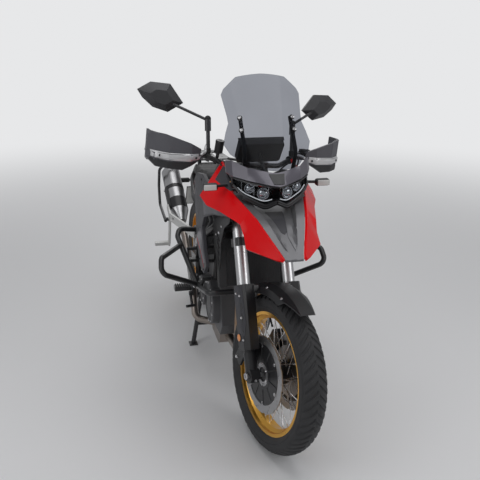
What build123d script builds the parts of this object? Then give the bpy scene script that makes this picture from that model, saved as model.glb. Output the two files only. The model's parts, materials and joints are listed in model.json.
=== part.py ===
"""Adventure motorcycle: parallel-twin engine, wire-spoked wheels, hand guards, tall screen and crash bars.

It stands on its centre stand with the steering turned a little to the left.
The bike is drawn with y = 0 under the front axle, +y to the rear, +x to the rider's left and z = 0 on the
ground, with the steering straight. place() then turns the steered pieces and moves all of it to the frame of
the part.
Millimetres and degrees throughout.
"""
from build123d import *
import math
import os

# ---------------------------------------------------------------- driving dimensions
wheelbase = 1510
rake = 25.5
trail = 108
rest_steer = 13.8              # steering angle at rest, to the left

front_tyre_radius = 329
front_tyre_half_width = 55
front_flange_radius = 253
front_rim_half_width = 38
rear_tyre_radius = 321
rear_tyre_half_width = 75
rear_flange_radius = 229
rear_rim_half_width = 59
rear_wheel_lift = 24           # the centre stand holds the rear tyre this far off the ground
# from the front axle to the middle of the length
origin_back = (wheelbase + rear_tyre_radius - front_tyre_radius) / 2

fork_half_spacing = 106
fork_offset = 35               # fork legs ahead of the steering axis
fork_tube_radius = 27
fork_slider_radius = 23
upper_clamp_height = 1012
lower_clamp_height = 800

axle_radius = 10
running_clearance = 0.05
seat_gap = 0.3                 # pieces that sit on each other without touching

spoke_radius = 1.9
spokes_a_side = 18

swingarm_pivot = (965, 405)    # y, z
swingarm_inner = 98            # x of the arms' inner and outer faces
swingarm_outer = 120
stand_pivot = (985, 285)       # y, z of the centre stand
stand_foot = (965, 178)        # y, half spread of the feet, which stand a little ahead of the pivot
stand_tube_radius = 12
stand_leg_top = 128            # x of the legs at the pivot
bracket_inner = 148            # x of the stand brackets' inner and outer faces
bracket_outer = 160
side_stand_pivot = (720, 268)  # y, z
hanger_inner = 204             # x of the rider's peg hangers
panel_inner = 190              # x of the side panels' inner face
rack_foot = 880                # height of the rack's feet

crash_tube_radius = 13
luggage_rail_x = 285

out = "parts"
os.makedirs(out, exist_ok=True)

# ---------------------------------------------------------------- steering axis
axis_y = math.sin(math.radians(rake))
axis_z = math.cos(math.radians(rake))
front_axle_z = front_tyre_radius
rear_axle_z = rear_tyre_radius + rear_wheel_lift
lug_height = front_axle_z + 23      # where the fork sliders leave their axle lugs
tube_foot = front_axle_z + 271      # lower end of the fork's outer tubes
steering_axis = Axis((0, -trail, 0), (0, axis_y, axis_z))

# Turning a raked fork lowers the tyre's lowest point; the part is lifted by that much so that it stands on
# z = 0.
lean_sin = axis_y * math.sin(math.radians(rest_steer))
crown_radius = front_tyre_half_width
axle_drop = (front_axle_z * axis_y - trail * axis_z) * axis_y * (1 - math.cos(math.radians(rest_steer)))
tilted_radius = (front_tyre_radius - crown_radius) * math.sqrt(1 - lean_sin ** 2) + crown_radius
ground_lift = tilted_radius - (front_axle_z - axle_drop)


def on_axis(height, ahead=0.0, side=0.0):
    """Point at this height along the steering axis, then moved squarely ahead of it and to the side."""
    along = height / axis_z
    return Vector(side, -trail + along * axis_y - ahead * axis_z, along * axis_z + ahead * axis_y)


steering_plane = Plane(origin=on_axis(upper_clamp_height), x_dir=(1, 0, 0), z_dir=(0, axis_y, axis_z))


def place(name, shape, steered=False):
    """Writes one piece in the frame of the part."""
    if steered:
        shape = shape.rotate(steering_axis, rest_steer)
    shape = Pos(0, -origin_back, ground_lift) * shape
    export_step(shape, f"{out}/{name}.step")


# ---------------------------------------------------------------- small tools
def rod(start, end, radius):
    """Round bar from start to end."""
    start, end = Vector(start), Vector(end)
    plane = Plane(origin=start, z_dir=end - start)
    return extrude(plane * Circle(radius), (end - start).length)


def tube(points, radius, bend):
    """Round tube along straight runs joined by arcs."""
    path = FilletPolyline(*points, radius=bend)
    return sweep(Plane(origin=path @ 0, z_dir=path % 0) * Circle(radius), path=path)


def both_sides(shape):
    """The shape and its mirror image across the middle of the bike."""
    return shape + mirror(shape, about=Plane.YZ)


def block(x, y, z):
    """Box given by its lowest and highest x, y and z."""
    size = [b - a for a, b in (x, y, z)]
    return Pos(*[(a + b) / 2 for a, b in (x, y, z)]) * Box(*size)


def side_plate(outline, x_low, x_high):
    """Plate whose outline is given in (y, z), between two x."""
    sketch = Plane(origin=(x_low, 0, 0), x_dir=(0, 1, 0),
                   z_dir=(1, 0, 0)) * make_face(Polyline(*outline, close=True))
    return extrude(sketch, x_high - x_low)


def plan_slab(outline, z_low, z_high):
    """Slab whose outline is given in (x, y), between two z."""
    return extrude(Pos(0, 0, z_low) * make_face(Polyline(*outline, close=True)), z_high - z_low)


def section_loft(sections):
    """Faceted body through closed outlines, each given as (y, [(x, z), ...])."""
    faces = []
    for y, outline in sections:
        plane = Plane(origin=(0, y, 0), x_dir=(1, 0, 0), z_dir=(0, -1, 0))
        faces.append(plane * make_face(Polyline(*outline, close=True)))
    return loft(faces, ruled=True)


def blade_sections(rows, thickness):
    """Outlines of a thin blade from rows of y, upper (x, z) and lower (x, z); the thickness goes inwards."""
    sections = []
    for y, (x_up, z_up), (x_low, z_low) in rows:
        length = math.hypot(x_low - x_up, z_up - z_low)
        dx, dz = thickness * (z_up - z_low) / length, thickness * (x_low - x_up) / length
        sections.append((y, [(x_up, z_up), (x_low, z_low), (x_low - dx, z_low - dz),
                             (x_up - dx, z_up - dz)]))
    return sections


def about_axle(profile, y, z):
    """Ring turned from a profile of (x, radius) about an axle."""
    return Pos(0, y, z) * revolve(profile, axis=Axis.X)


# ---------------------------------------------------------------- wheels
def tyre_profile(radius, half_width, flange, rim_half):
    """Hollow tyre section, with its beads inside the rim flanges."""
    wall, shoulder_drop = 9, 0.21 * half_width * 2
    bead = flange - 8
    foot = rim_half - 3 - seat_gap
    shoulder = (half_width * 0.93, radius - shoulder_drop)
    belly = (half_width, radius - shoulder_drop * 2.1)
    outer = Curve() + [
        Line((foot, bead), (foot, flange + 2)),
        ThreePointArc((foot, flange + 2), belly, shoulder),
        ThreePointArc(shoulder, (0, radius), (-shoulder[0], shoulder[1])),
        ThreePointArc((-shoulder[0], shoulder[1]), (-belly[0], belly[1]), (-foot, flange + 2)),
        Line((-foot, flange + 2), (-foot, bead)),
        Line((-foot, bead), (-foot + wall, bead)),
        Line((-foot + wall, bead), (-foot + wall, flange + 6)),
        ThreePointArc((-foot + wall, flange + 6), (-belly[0] + wall, belly[1]),
                      (-shoulder[0] + wall, shoulder[1] - wall)),
        ThreePointArc((-shoulder[0] + wall, shoulder[1] - wall), (0, radius - wall - 2),
                      (shoulder[0] - wall, shoulder[1] - wall)),
        ThreePointArc((shoulder[0] - wall, shoulder[1] - wall), (belly[0] - wall, belly[1]),
                      (foot - wall, flange + 6)),
        Line((foot - wall, flange + 6), (foot - wall, bead)),
        Line((foot - wall, bead), (foot, bead)),
    ]
    return make_face(outer)


def rim_profile(flange, half_width):
    """Drop-centre rim section."""
    seat = flange - 9
    well = flange - 25
    wall = 4
    top = [(half_width, flange), (half_width - 3, flange), (half_width - 3, seat),
           (half_width * 0.62, seat - 1),
           (half_width * 0.35, well)]
    under = [(half_width * 0.35 - 1, well - wall), (half_width * 0.62 + 1, seat - 1 - wall),
             (half_width, seat - wall)]
    right = top + [(-x, r) for x, r in reversed(top)]
    left = [(-x, r) for x, r in reversed(under)] + under
    return make_face(Polyline(*right, *left, close=True))


def spokes(axle_y, axle_z, flange_x, flange_radius, rim_x, rim_radius, sweep_angle):
    """Crossed wire spokes on both sides, heads inside and outside each hub flange in turn."""
    wires = []
    for side in (-1, 1):
        for k in range(spokes_a_side):
            turn = 1 if k % 2 else -1
            hub_angle = math.radians(k * 360 / spokes_a_side + (5 if side > 0 else 0))
            rim_angle = hub_angle + turn * math.radians(sweep_angle)
            x_hub = side * flange_x[k % 2]
            x_rim = side * (rim_x + turn * 2.6)
            start = (x_hub, axle_y + flange_radius * math.cos(hub_angle),
                     axle_z + flange_radius * math.sin(hub_angle))
            end = (x_rim, axle_y + rim_radius * math.cos(rim_angle),
                   axle_z + rim_radius * math.sin(rim_angle))
            wires.append(rod(start, end, spoke_radius))
    return Compound(wires)


flange_half = 4
flange_run = 8                 # how far each flange face slopes along the axle


def spoke_heads(barrel_radius, flange_x, flange_radius, head_radius):
    """x of the spoke heads inside and outside a flange, clear of its sloping faces."""
    clear = spoke_radius + 0.4
    rise_out = flange_radius - barrel_radius - 12
    x_out = flange_x + flange_half + flange_run * (flange_radius - head_radius) / rise_out
    rise_in = flange_radius - barrel_radius
    x_in = flange_x - flange_half - flange_run * (flange_radius - head_radius) / rise_in
    return (x_in - clear * math.hypot(1, flange_run / rise_in),
            x_out + clear * math.hypot(1, flange_run / rise_out))


def hub(half_length, barrel_radius, flange_x, flange_radius):
    """Hub barrel with two spoke flanges and its axle bore, turned about the x axis."""
    half = [(half_length, 0), (half_length, barrel_radius + 12),
            (flange_x + flange_half + flange_run, barrel_radius + 12),
            (flange_x + flange_half, flange_radius), (flange_x - flange_half, flange_radius),
            (flange_x - flange_half - flange_run, barrel_radius)]
    outline = half + [(-x, r) for x, r in reversed(half)]
    solid = revolve(make_face(Polyline(*outline, close=True)), axis=Axis.X)
    return solid - Plane.YZ.offset(-half_length - 1) * extrude(Circle(axle_radius + running_clearance),
                                                               2 * half_length + 2)


def brake_disc(outer, inner, thickness, lobes=10):
    """Waved brake disc about the x axis with slots of round vent holes and a six-arm carrier."""
    ring = Circle(outer) - Circle(inner)
    for k in range(lobes):
        ring -= Pos(Vector(outer + 14, 0).rotate(Axis.Z, k * 360 / lobes)) * Circle(18)
        for r, shift in ((0.2, 8), (0.5, 14), (0.8, 20)):
            hole = Vector(inner + (outer - inner) * r, 0).rotate(Axis.Z,
                                                                 (k + 0.5) * 360 / lobes + shift - 14)
            ring -= Pos(hole) * Circle(3)
    carrier = Circle(inner - 20) - Circle(30)
    for k in range(6):
        carrier += Rot(0, 0, k * 60 + 15) * Pos(inner - 14, 0) * Rectangle(38, 13)
    disc = extrude(Plane.YZ * (ring + carrier), thickness / 2, both=True)
    return disc


front_hub_half = 56
front_disc_x = front_hub_half + 3
front_disc_thickness = 4.5
front_disc_radius = 160


def front_wheel():
    """Writes the front wheel's pieces."""
    y, z = 0, front_axle_z
    place("front_tyre", about_axle(tyre_profile(front_tyre_radius, front_tyre_half_width,
                                                front_flange_radius,
                                                front_rim_half_width), y, z), True)
    place("front_rim", about_axle(rim_profile(front_flange_radius, front_rim_half_width), y, z), True)
    place("front_hub", Pos(0, y, z) * hub(front_hub_half, 26, 38, 50), True)
    place("front_spokes", spokes(y, z, spoke_heads(26, 38, 50, 44), 44, 7, front_flange_radius - 29.9, 44),
          True)
    disc = Pos(front_disc_x, y, z) * brake_disc(front_disc_radius, 126, front_disc_thickness)
    place("front_brake_discs", both_sides(disc), True)


rear_hub_half = 62
chain_x = 88
sprocket_radius = 108


def rear_wheel():
    """Writes the rear wheel's pieces."""
    y, z = wheelbase, rear_axle_z
    place("rear_tyre", about_axle(tyre_profile(rear_tyre_radius, rear_tyre_half_width, rear_flange_radius,
                                               rear_rim_half_width), y, z))
    place("rear_rim", about_axle(rim_profile(rear_flange_radius, rear_rim_half_width), y, z))
    place("rear_hub", Pos(0, y, z) * hub(rear_hub_half, 38, 44, 66))
    place("rear_spokes", spokes(y, z, spoke_heads(38, 44, 66, 60), 60, 12, rear_flange_radius - 30.2, 42))
    disc = Pos(-rear_hub_half - 3, y, z) * brake_disc(130, 98, 5)
    place("rear_brake_disc", disc)
    teeth = 42
    blank = Circle(sprocket_radius) - Circle(66)
    for k in range(teeth):
        blank -= Pos(Vector(sprocket_radius + 1.5, 0).rotate(Axis.Z, k * 360 / teeth)) * Circle(5)
    spider = Circle(70) - Circle(24)
    wheel = extrude(Plane.YZ * (blank + spider), 3.5, both=True)
    carrier = Plane.YZ.offset(rear_hub_half - chain_x) * extrude(Circle(48) - Circle(24),
                                                                 chain_x - rear_hub_half - 3.5)
    place("rear_sprocket", Pos(chain_x, y, z) * (wheel + carrier))


# ---------------------------------------------------------------- fork and controls (steered)
def fork():
    """Upside-down fork: outer tubes in two clamps, inner sliders with axle lugs."""
    tube_top = upper_clamp_height + 14
    tubes = both_sides(rod(on_axis(tube_foot, fork_offset, fork_half_spacing),
                           on_axis(tube_top, fork_offset, fork_half_spacing), fork_tube_radius))
    place("fork_tubes", tubes, True)
    slider = rod(on_axis(lug_height, fork_offset, fork_half_spacing),
                 on_axis(tube_foot, fork_offset, fork_half_spacing), fork_slider_radius)
    foot = rod((fork_half_spacing - 22, 0, front_axle_z), (fork_half_spacing + 20, 0, front_axle_z), 30)
    shank = rod((fork_half_spacing, 4, front_axle_z),
                on_axis(lug_height + 40, fork_offset, fork_half_spacing), 26)
    leg = slider + shank + foot
    leg -= rod((fork_half_spacing - 30, 0, front_axle_z), (fork_half_spacing + 30, 0, front_axle_z),
               axle_radius + running_clearance)
    place("fork_sliders", both_sides(leg), True)
    axle = rod((-fork_half_spacing - 26, 0, front_axle_z), (fork_half_spacing + 26, 0, front_axle_z),
               axle_radius)
    place("front_axle", axle, True)


def clamps():
    """Upper and lower fork clamps on the steering stem."""
    pieces = None
    for height, thick in ((upper_clamp_height, 26), (lower_clamp_height, 34)):
        plane = Plane(origin=on_axis(height), x_dir=(1, 0, 0), z_dir=(0, axis_y, axis_z))
        side = fork_half_spacing + fork_tube_radius - 1
        web = Polyline((-side, -72), (side, -72), (side, 2), (42, 34), (-42, 34), (-side, 2), close=True)
        clamp = extrude(plane * make_face(web), thick / 2, both=True)
        clamp = fillet(clamp.edges().filter_by(Axis((0, 0, 0), (0, axis_y, axis_z))), 16)
        pieces = clamp if pieces is None else pieces + clamp
    for side in (-1, 1):
        pieces -= rod(on_axis(700, fork_offset, side * fork_half_spacing),
                      on_axis(1100, fork_offset,
                              side * fork_half_spacing), fork_tube_radius + running_clearance)
    stem = rod(on_axis(lower_clamp_height), on_axis(upper_clamp_height), 14)
    place("fork_clamps", pieces + stem, True)


bar_radius = 11
riser_ahead = 17               # handlebar ahead of the steering axis
riser_length = 81              # from the clamp's face up to the bar
bar_points = [(-432, 512, 1142), (-262, 470, 1146), (-120, 400, 1106), (120, 400, 1106), (262, 470, 1146),
              (432, 512, 1142)]


def bar_point(side, share, stretch=4):
    """Point along one straight stretch of the handlebar: 4 is the grip stretch, 3 rises to it."""
    inner, outer = Vector(*bar_points[stretch]), Vector(*bar_points[stretch + 1])
    point = inner + (outer - inner) * share
    return Vector(side * point.X, point.Y, point.Z)


def bar_clamp(side, share, length, radius):
    """Ring round the rising stretch of the handlebar."""
    reach = length / 200
    ring = rod(bar_point(side, share, 3), bar_point(side, share + reach, 3), radius)
    return ring - rod(bar_point(side, share - 0.2, 3), bar_point(side, share + reach + 0.2, 3),
                      bar_radius + seat_gap)


def handlebar():
    """Tapered bar on risers, grips, hand controls, guards and mirrors."""
    bar = tube(bar_points, bar_radius, 45)
    risers = None
    for side in (-1, 1):
        foot = on_axis(upper_clamp_height, riser_ahead, side * 44) + Vector(0, axis_y,
                                                                            axis_z) * (13 + seat_gap)
        riser = rod(foot, foot + Vector(0, axis_y, axis_z) * riser_length, 15)
        cap = block((side * 44 - 16, side * 44 + 16), (382, 418), (1088, 1122))
        risers = riser + cap if risers is None else risers + riser + cap
    place("handlebar", bar + risers, True)
    grips, controls = None, None
    for side in (-1, 1):
        grip = rod(bar_point(side, 0.29), bar_point(side, 0.985), 17)
        grip -= rod(bar_point(side, 0.1), bar_point(side, 1.1), bar_radius + seat_gap)
        grips = grip if grips is None else grips + grip
        pod_low, pod_high = bar_point(side, 0.06), bar_point(side, 0.27)
        pod = rod(pod_low, pod_high, 24)
        cylinder = rod(pod_low + Vector(-side * 8, -30, 6), pod_low + Vector(side * 30, -22, 4), 12)
        clamp = rod(pod_low + Vector(side * 10, 0, 0), pod_low + Vector(side * 6, -30, 6), 11)
        lever = tube([tuple(pod_low + Vector(side * 14, -28, 2)),
                      tuple(pod_low + Vector(side * 60, -44, -2)),
                      tuple(bar_point(side, 0.93) + Vector(0, -46, -10))], 6, 40)
        control = pod + cylinder + clamp + lever
        control -= rod(bar_point(side, -0.2), bar_point(side, 1.1), bar_radius + seat_gap)
        control -= rod(bar_point(side, -0.1, 3), bar_point(side, 1.1, 3), bar_radius + seat_gap)
        controls = control if controls is None else controls + control
    neck = bar_point(-1, 0.33, 3)
    controls += bar_clamp(-1, 0.3, 14, 17) + rod(neck + Vector(0, -6, 15), neck + Vector(0, -12, 42),
                                                 7) + rod(
        neck + Vector(0, -12, 36), neck + Vector(0, -20, 82), 18)
    place("grips", grips, True)
    place("hand_controls", controls, True)


def guard_shell(side):
    """Wrap-round hand guard: shield, raised band and lower lip, from the bar end to an inner clamp."""
    plan = [(447, 522), (454, 480), (436, 432), (384, 394), (296, 380), (250, 396)]
    inner = [(254, 404), (297, 389), (380, 403), (428, 438), (444, 482), (438, 520)]
    wall = plan_slab([(side * x, y) for x, y in plan + inner], 1060, 1240)
    front = Plane(origin=(0, 300, 0), x_dir=(1, 0, 0), z_dir=(0, -1, 0))
    rows = [(248, 1168), (300, 1192), (400, 1222), (446, 1226), (460, 1196), (460, 1122), (430, 1088),
            (330, 1082),
            (262, 1118)]
    outline = make_face(Polyline(*[(side * x, z) for x, z in rows], close=True))
    shell = wall & extrude(front * outline, 300, both=True)
    band = plan_slab([(side * x, y) for x, y in plan[:1] + [(458, 479), (439, 427), (386, 389), (296, 375),
                                                            (247, 394)]
                      + plan[:0:-1]], 1126, 1146)
    clamp = bar_clamp(side, 0.66, 14, 17)
    stay = rod((side * 252, 400, 1140), bar_point(side, 0.72, 3) + Vector(0, -17, 2), 7)
    bar_end, outwards = bar_point(side, 1), (bar_point(side, 1) - bar_point(side, 0)).normalized()
    end_cap = rod(bar_end + outwards * seat_gap, bar_end + outwards * 17, 14)
    return shell + band + stay + clamp + end_cap


mirror_centre = (384, 566, 1350)
# outline of a mirror: outwards and up from its middle
mirror_rows = [(95, 24), (44, 57), (-36, 55), (-94, -16), (-33, -56), (30, -40), (73, -6)]


def handguards_and_mirrors():
    """Hand guards and mirrors."""
    place("handguards", guard_shell(1) + guard_shell(-1), True)
    mirrors = None
    for side in (-1, 1):
        plane = Plane(origin=(side * mirror_centre[0], *mirror_centre[1:]), x_dir=(1, side * 0.12, 0),
                      z_dir=(side * 0.12, -1, 0.06))
        rows = [(side * x, z) for x, z in mirror_rows]
        layers = [plane * make_face(Polyline(*rows, close=True))]
        for depth, share in ((12, 1.04), (34, 0.52)):
            layers.append(plane.offset(depth) * make_face(Polyline(*[(x * share, z * share) for x,
                                                                     z in rows], close=True)))
        shell = loft(layers, ruled=True)
        root = bar_point(side, 0.56, 3) + Vector(0, -2, 19)
        top = Vector(side * 203, 468, 1284)
        post = rod(root, top, 8) + rod(top - (top - root).normalized() * 50, top, 13)
        stem = rod(top - Vector(0, 0, 6), (side * 352, 548, 1334), 6)
        neck = bar_clamp(side, 0.49, 18, 18) + rod(bar_point(side, 0.56, 3) + Vector(0, 0, 13.4),
                                                   root + Vector(0, 0, 6), 9)
        one = shell + stem + post + neck
        mirrors = one if mirrors is None else mirrors + one
    place("mirrors", mirrors, True)


def front_mudguard():
    """Front mudguard arching over the tyre between the fork legs, with a guard down each slider."""
    gap, wall, drop = 34, 3, 34
    crown = front_tyre_radius + gap
    half = front_tyre_half_width + 12
    outer = [(-half, crown - drop), (-half + 8, crown - 8), (-half * 0.45, crown + 8),
             (half * 0.45, crown + 8),
             (half - 8, crown - 8), (half, crown - drop)]
    inner = [(x * (half - wall) / half, r - wall) for x, r in reversed(outer)]
    profile = make_face(Polyline(*outer, *inner, close=True))
    front_end, rear_end = 28, 49       # degrees ahead of and behind the top
    arch = revolve(profile, axis=Axis.X, revolution_arc=front_end + rear_end)
    arch = Pos(0, 0, front_axle_z) * Rot(90 - rear_end, 0, 0) * arch
    nose = plan_slab([(-half - 1, 400), (-half - 1, -40), (-20, -222), (20, -222), (half + 1, -40),
                      (half + 1, 400)], crown - 20, crown + front_tyre_radius + 150)
    arch &= nose
    guards = None
    for side in (-1, 1):
        plane_low = Plane(origin=on_axis(front_axle_z + 75, fork_offset, side * fork_half_spacing),
                          x_dir=(1, 0, 0),
                          z_dir=(0, axis_y, axis_z))
        x_in, x_out = -side * 26, side * 36
        shape = Polyline((x_in, -44), (x_out * 0.5, -52), (x_out, -30), (x_out, 22), (x_out * 0.85, 22),
                         (x_out * 0.85, -26), (x_out * 0.45, -46), (x_in * 0.85, -39), close=True)
        guard = extrude(plane_low * make_face(shape), 262)
        plane_bridge = Plane(origin=on_axis(tube_foot + 10, fork_offset), x_dir=(1, 0, 0),
                             z_dir=(0, axis_y, axis_z))
        bridge = extrude(plane_bridge * Pos(side * (half + fork_half_spacing - 22) / 2, -46) * Rectangle(
            fork_half_spacing - 20 - half + 4, 12), 28)
        rib = extrude(plane_bridge.offset(-40) * Pos(side * fork_half_spacing, -34) * Rectangle(
            12, 68 - 2 * fork_slider_radius - 2 * seat_gap), 26)
        one = guard + bridge + rib
        guards = one if guards is None else guards + one
    place("front_mudguard", arch + guards, True)


def calipers():
    """Radial front brake calipers behind the fork legs, straddling the discs."""
    body = block((front_disc_x - 17, front_disc_x + 25), (112, 181), (-62, 62))
    body = fillet(body.edges().filter_by(Axis.X), 12)
    slot = extrude(Plane.YZ.offset(front_disc_x) * Circle(front_disc_radius + 5),
                   front_disc_thickness / 2 + 2, both=True)
    ears = block((front_disc_x + 14, fork_half_spacing + 4), (120, 150), (30, 60))
    ears += block((front_disc_x + 14, fork_half_spacing + 4), (120, 150), (-60, -38))
    bracket = block((fork_half_spacing - 8, fork_half_spacing + 4), (96, 150), (-60, 92))
    shape = (body - slot + ears + bracket).rotate(Axis.X, 26)
    shape = Pos(0, 0, front_axle_z) * shape
    shape -= rod(on_axis(front_axle_z + 1, fork_offset, fork_half_spacing),
                 on_axis(lug_height + 40, fork_offset, fork_half_spacing), 26 + seat_gap)
    shape -= rod(on_axis(lug_height + 39, fork_offset, fork_half_spacing),
                 on_axis(lug_height + 208, fork_offset, fork_half_spacing), fork_slider_radius + seat_gap)
    shape -= rod((fork_half_spacing - 23, 0, front_axle_z), (fork_half_spacing + 21, 0, front_axle_z), 31)
    place("front_calipers", both_sides(shape), True)


# ---------------------------------------------------------------- chassis
rail_root = Vector(146, 780, 680)      # where the rear subframe's rails leave the spars
rail_next = Vector(84, 900, 712)
stay_root = Vector(145, 955, 520)
stay_end = Vector(77, 1290, 790)
spigot_length = 36                     # from the root to the joint between main frame and subframe


def along(start, end, distance):
    """Point this far from start towards end."""
    return start + (end - start).normalized() * distance


def mirrored(point, side):
    """The point on the left side, or its mirror image on the right."""
    return Vector(side * point.X, point.Y, point.Z)


def main_frame():
    """Steel frame: head tube, twin spars, down tubes, swingarm pivot bosses and the subframe's spigots."""
    y_pivot, z_pivot = swingarm_pivot
    frame = rod(on_axis(lower_clamp_height + 18.5), on_axis(upper_clamp_height - 14.5), 30)
    for side in (-1, 1):
        spar = tube([tuple(on_axis(930, -10, side * 12)), (side * 120, 520, 824), (side * 150, 760, 690),
                     (side * 148, 950, 560), (side * 144, 985, bracket_top - 10)], 15, 70)
        down = tube([tuple(on_axis(880, -12, side * 12)), (side * 120, 424, 816), (side * 136, 500, 716),
                     (side * 136, 540, 552)], 13, 34)
        lug = rod((side * 118.3, 538, 545), (side * 158, 538, 545), 12)
        plate = side_plate([(820, 650), (890, 610), (880, 500), (836, 500)],
                           *sorted((side * 118.3, side * 150)))
        pivot = rod((side * (swingarm_outer + seat_gap), y_pivot, z_pivot), (side * 146, y_pivot, z_pivot),
                    20)
        rail_spigot = rod(mirrored(rail_root, side),
                          mirrored(along(rail_root, rail_next, spigot_length - seat_gap), side), 13)
        stay_spigot = rod(mirrored(stay_root, side),
                          mirrored(along(stay_root, stay_end, spigot_length - seat_gap), side), 12)
        peg_lugs = rod((side * 140, 936, 562), (side * (hanger_inner - seat_gap), 936, 562), 9)
        peg_lugs += block(sorted((side * 140, side * (hanger_inner - seat_gap))), (926, 960), (490, 506))
        frame = frame + spar + down + lug + plate + pivot + rail_spigot + stay_spigot + peg_lugs
        frame += rod((side * 130, 522, 640), (side * (panel_inner - seat_gap), 522, 640), 8)
        frame += rod((side * 140, 857, 687), (side * 165, 857, 687), 10)
    for y, z, half, radius in ((985, 357, 144, 9), (950, 560, 148, 10), (780, 682, 146, 10),
                               (560, 805, 124, 9)):
        frame += rod((-half, y, z), (half, y, z), radius)
    frame += rod((0, 560, 805), (0, 560, 843.9), 7)
    frame -= block((-170, 170), (950, 1030), (bracket_top - 30, bracket_top + seat_gap))
    frame -= rod(on_axis(700), on_axis(1100), 14 + running_clearance)
    place("main_frame", frame)


def rear_subframe():
    """Bolted-on subframe: two rails and two stays that carry the seats, the tail and the rack."""
    frame = None
    for side in (-1, 1):
        rail = tube([tuple(mirrored(along(rail_root, rail_next, spigot_length), side)),
                     tuple(mirrored(rail_next, side)),
                     (side * 78, 1080, 748), (side * 50, 1490, 834)], 12, 90)
        stay = rod(mirrored(along(stay_root, stay_end, spigot_length), side), mirrored(stay_end, side), 11)
        hanger_lug = block(sorted((side * 118, side * 139.7)), (995, 1025), (550, 640))
        half = rail + stay + hanger_lug
        half += block(sorted((side * 70, side * 84)), (1052, 1068), (746, 770))
        half += block(sorted((side * 70, side * 130.6)), (1052, 1068), (759, 770))
        for x, y, z in ((53, 1446, 824), (51, 1484, 833)):
            half += rod((side * x, y, z), (side * x, y, rack_foot - seat_gap), 8)
        frame = half if frame is None else frame + half
    for y, z, half_length, radius in ((1060, 744, 78, 9), (1300, 794, 64, 9), (1470, 830, 52, 9)):
        frame += rod((-half_length, y, z), (half_length, y, z), radius)
    for y, low, high in ((1060, 744, 783.6), (1300, 794, 853.8)):
        frame += rod((0, y, low), (0, y, high), 7)
    place("rear_subframe", frame)


bracket_top = 345
stand_pin_radius = 8
side_stand_pin_radius = 7
side_stand_eye = (bracket_outer + 2.5, bracket_outer + 24)    # x of the eye's two faces


def stand_brackets():
    """Plates under the spars that carry the centre stand and, on the left, the side stand's pin."""
    y_stand, z_stand = stand_pivot
    y_side, z_side = side_stand_pivot
    outline = [(968, bracket_top), (1004, bracket_top), (1004, z_stand + 14), (y_stand + 12, z_stand - 18),
               (y_stand - 12, z_stand - 18), (968, z_stand + 14)]
    plate = side_plate(outline, bracket_inner, bracket_outer)
    left = plate + block((bracket_inner, bracket_outer), (y_side - 22, y_stand), (z_side - 16, z_side + 16))
    left += rod((bracket_inner + 2, y_side, z_side), (side_stand_eye[1] + 2, y_side, z_side),
                side_stand_pin_radius)
    left += rod((side_stand_eye[1] + 1, y_side, z_side), (side_stand_eye[1] + 5, y_side, z_side), 11)
    brackets = left + mirror(plate, about=Plane.YZ)
    brackets -= rod((-200, y_stand, z_stand), (200, y_stand, z_stand), stand_pin_radius + running_clearance)
    place("stand_brackets", brackets)


def swingarm():
    """Box-section swingarm with its cross tube, and the rear axle."""
    y0, z0 = swingarm_pivot
    arms = rod((-swingarm_outer, y0, z0), (swingarm_outer, y0, z0), 26)
    for side in (-1, 1):
        outline = [(y0 - 24, z0 - 24), (y0 + 30, z0 + 32), (y0 + 300, z0 + 12),
                   (wheelbase + 44, rear_axle_z + 22),
                   (wheelbase + 44, rear_axle_z - 22), (y0 + 250, z0 - 62), (y0 + 60, z0 - 42)]
        arms = arms + side_plate(outline, *sorted((side * swingarm_inner, side * swingarm_outer)))
    arms = arms + block((-swingarm_inner - 4, swingarm_inner + 4), (y0 + 62, y0 + 120), (z0 - 34, z0 + 20))
    arms = arms - rod((-200, wheelbase, rear_axle_z), (200, wheelbase, rear_axle_z),
                      axle_radius + running_clearance)
    place("swingarm", arms)
    end = swingarm_outer + 12
    axle = rod((-end, wheelbase, rear_axle_z), (end, wheelbase, rear_axle_z), axle_radius)
    for start, stop, radius in ((-rear_hub_half - 8, seat_gap - swingarm_inner, 16),
                                (swingarm_outer + seat_gap, end, 18), (-swingarm_outer - seat_gap, -end,
                                                                       18)):
        axle = axle + rod((start, wheelbase, rear_axle_z), (stop, wheelbase, rear_axle_z), radius)
    place("rear_axle", axle)


def shock_absorber():
    """Rear shock absorber with its coil spring between the frame and the swingarm."""
    top, foot = Vector(0, 985, 662), Vector(0, 1060, swingarm_pivot[1] + 25.2)
    direction = (top - foot).normalized()
    damper = rod(foot, top, 15)
    collars = rod(foot + direction * 26, foot + direction * 34, 34) + rod(top - direction * 40,
                                                                          top - direction * 32, 34)
    turns, start = 7, foot + direction * 36
    coil_length = (top - foot).length - 78
    body = damper + collars
    for k in range(turns):
        centre = start + direction * (coil_length * (k + 0.5) / turns)
        ring = Plane(origin=centre, z_dir=direction)
        body = body + ring * (extrude(Circle(31) - Circle(13), 5, both=True))
    place("shock_absorber", body)


# ---------------------------------------------------------------- engine
chain_front = (830, 400)        # y, z of the front sprocket
chain_front_radius = 36


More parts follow.
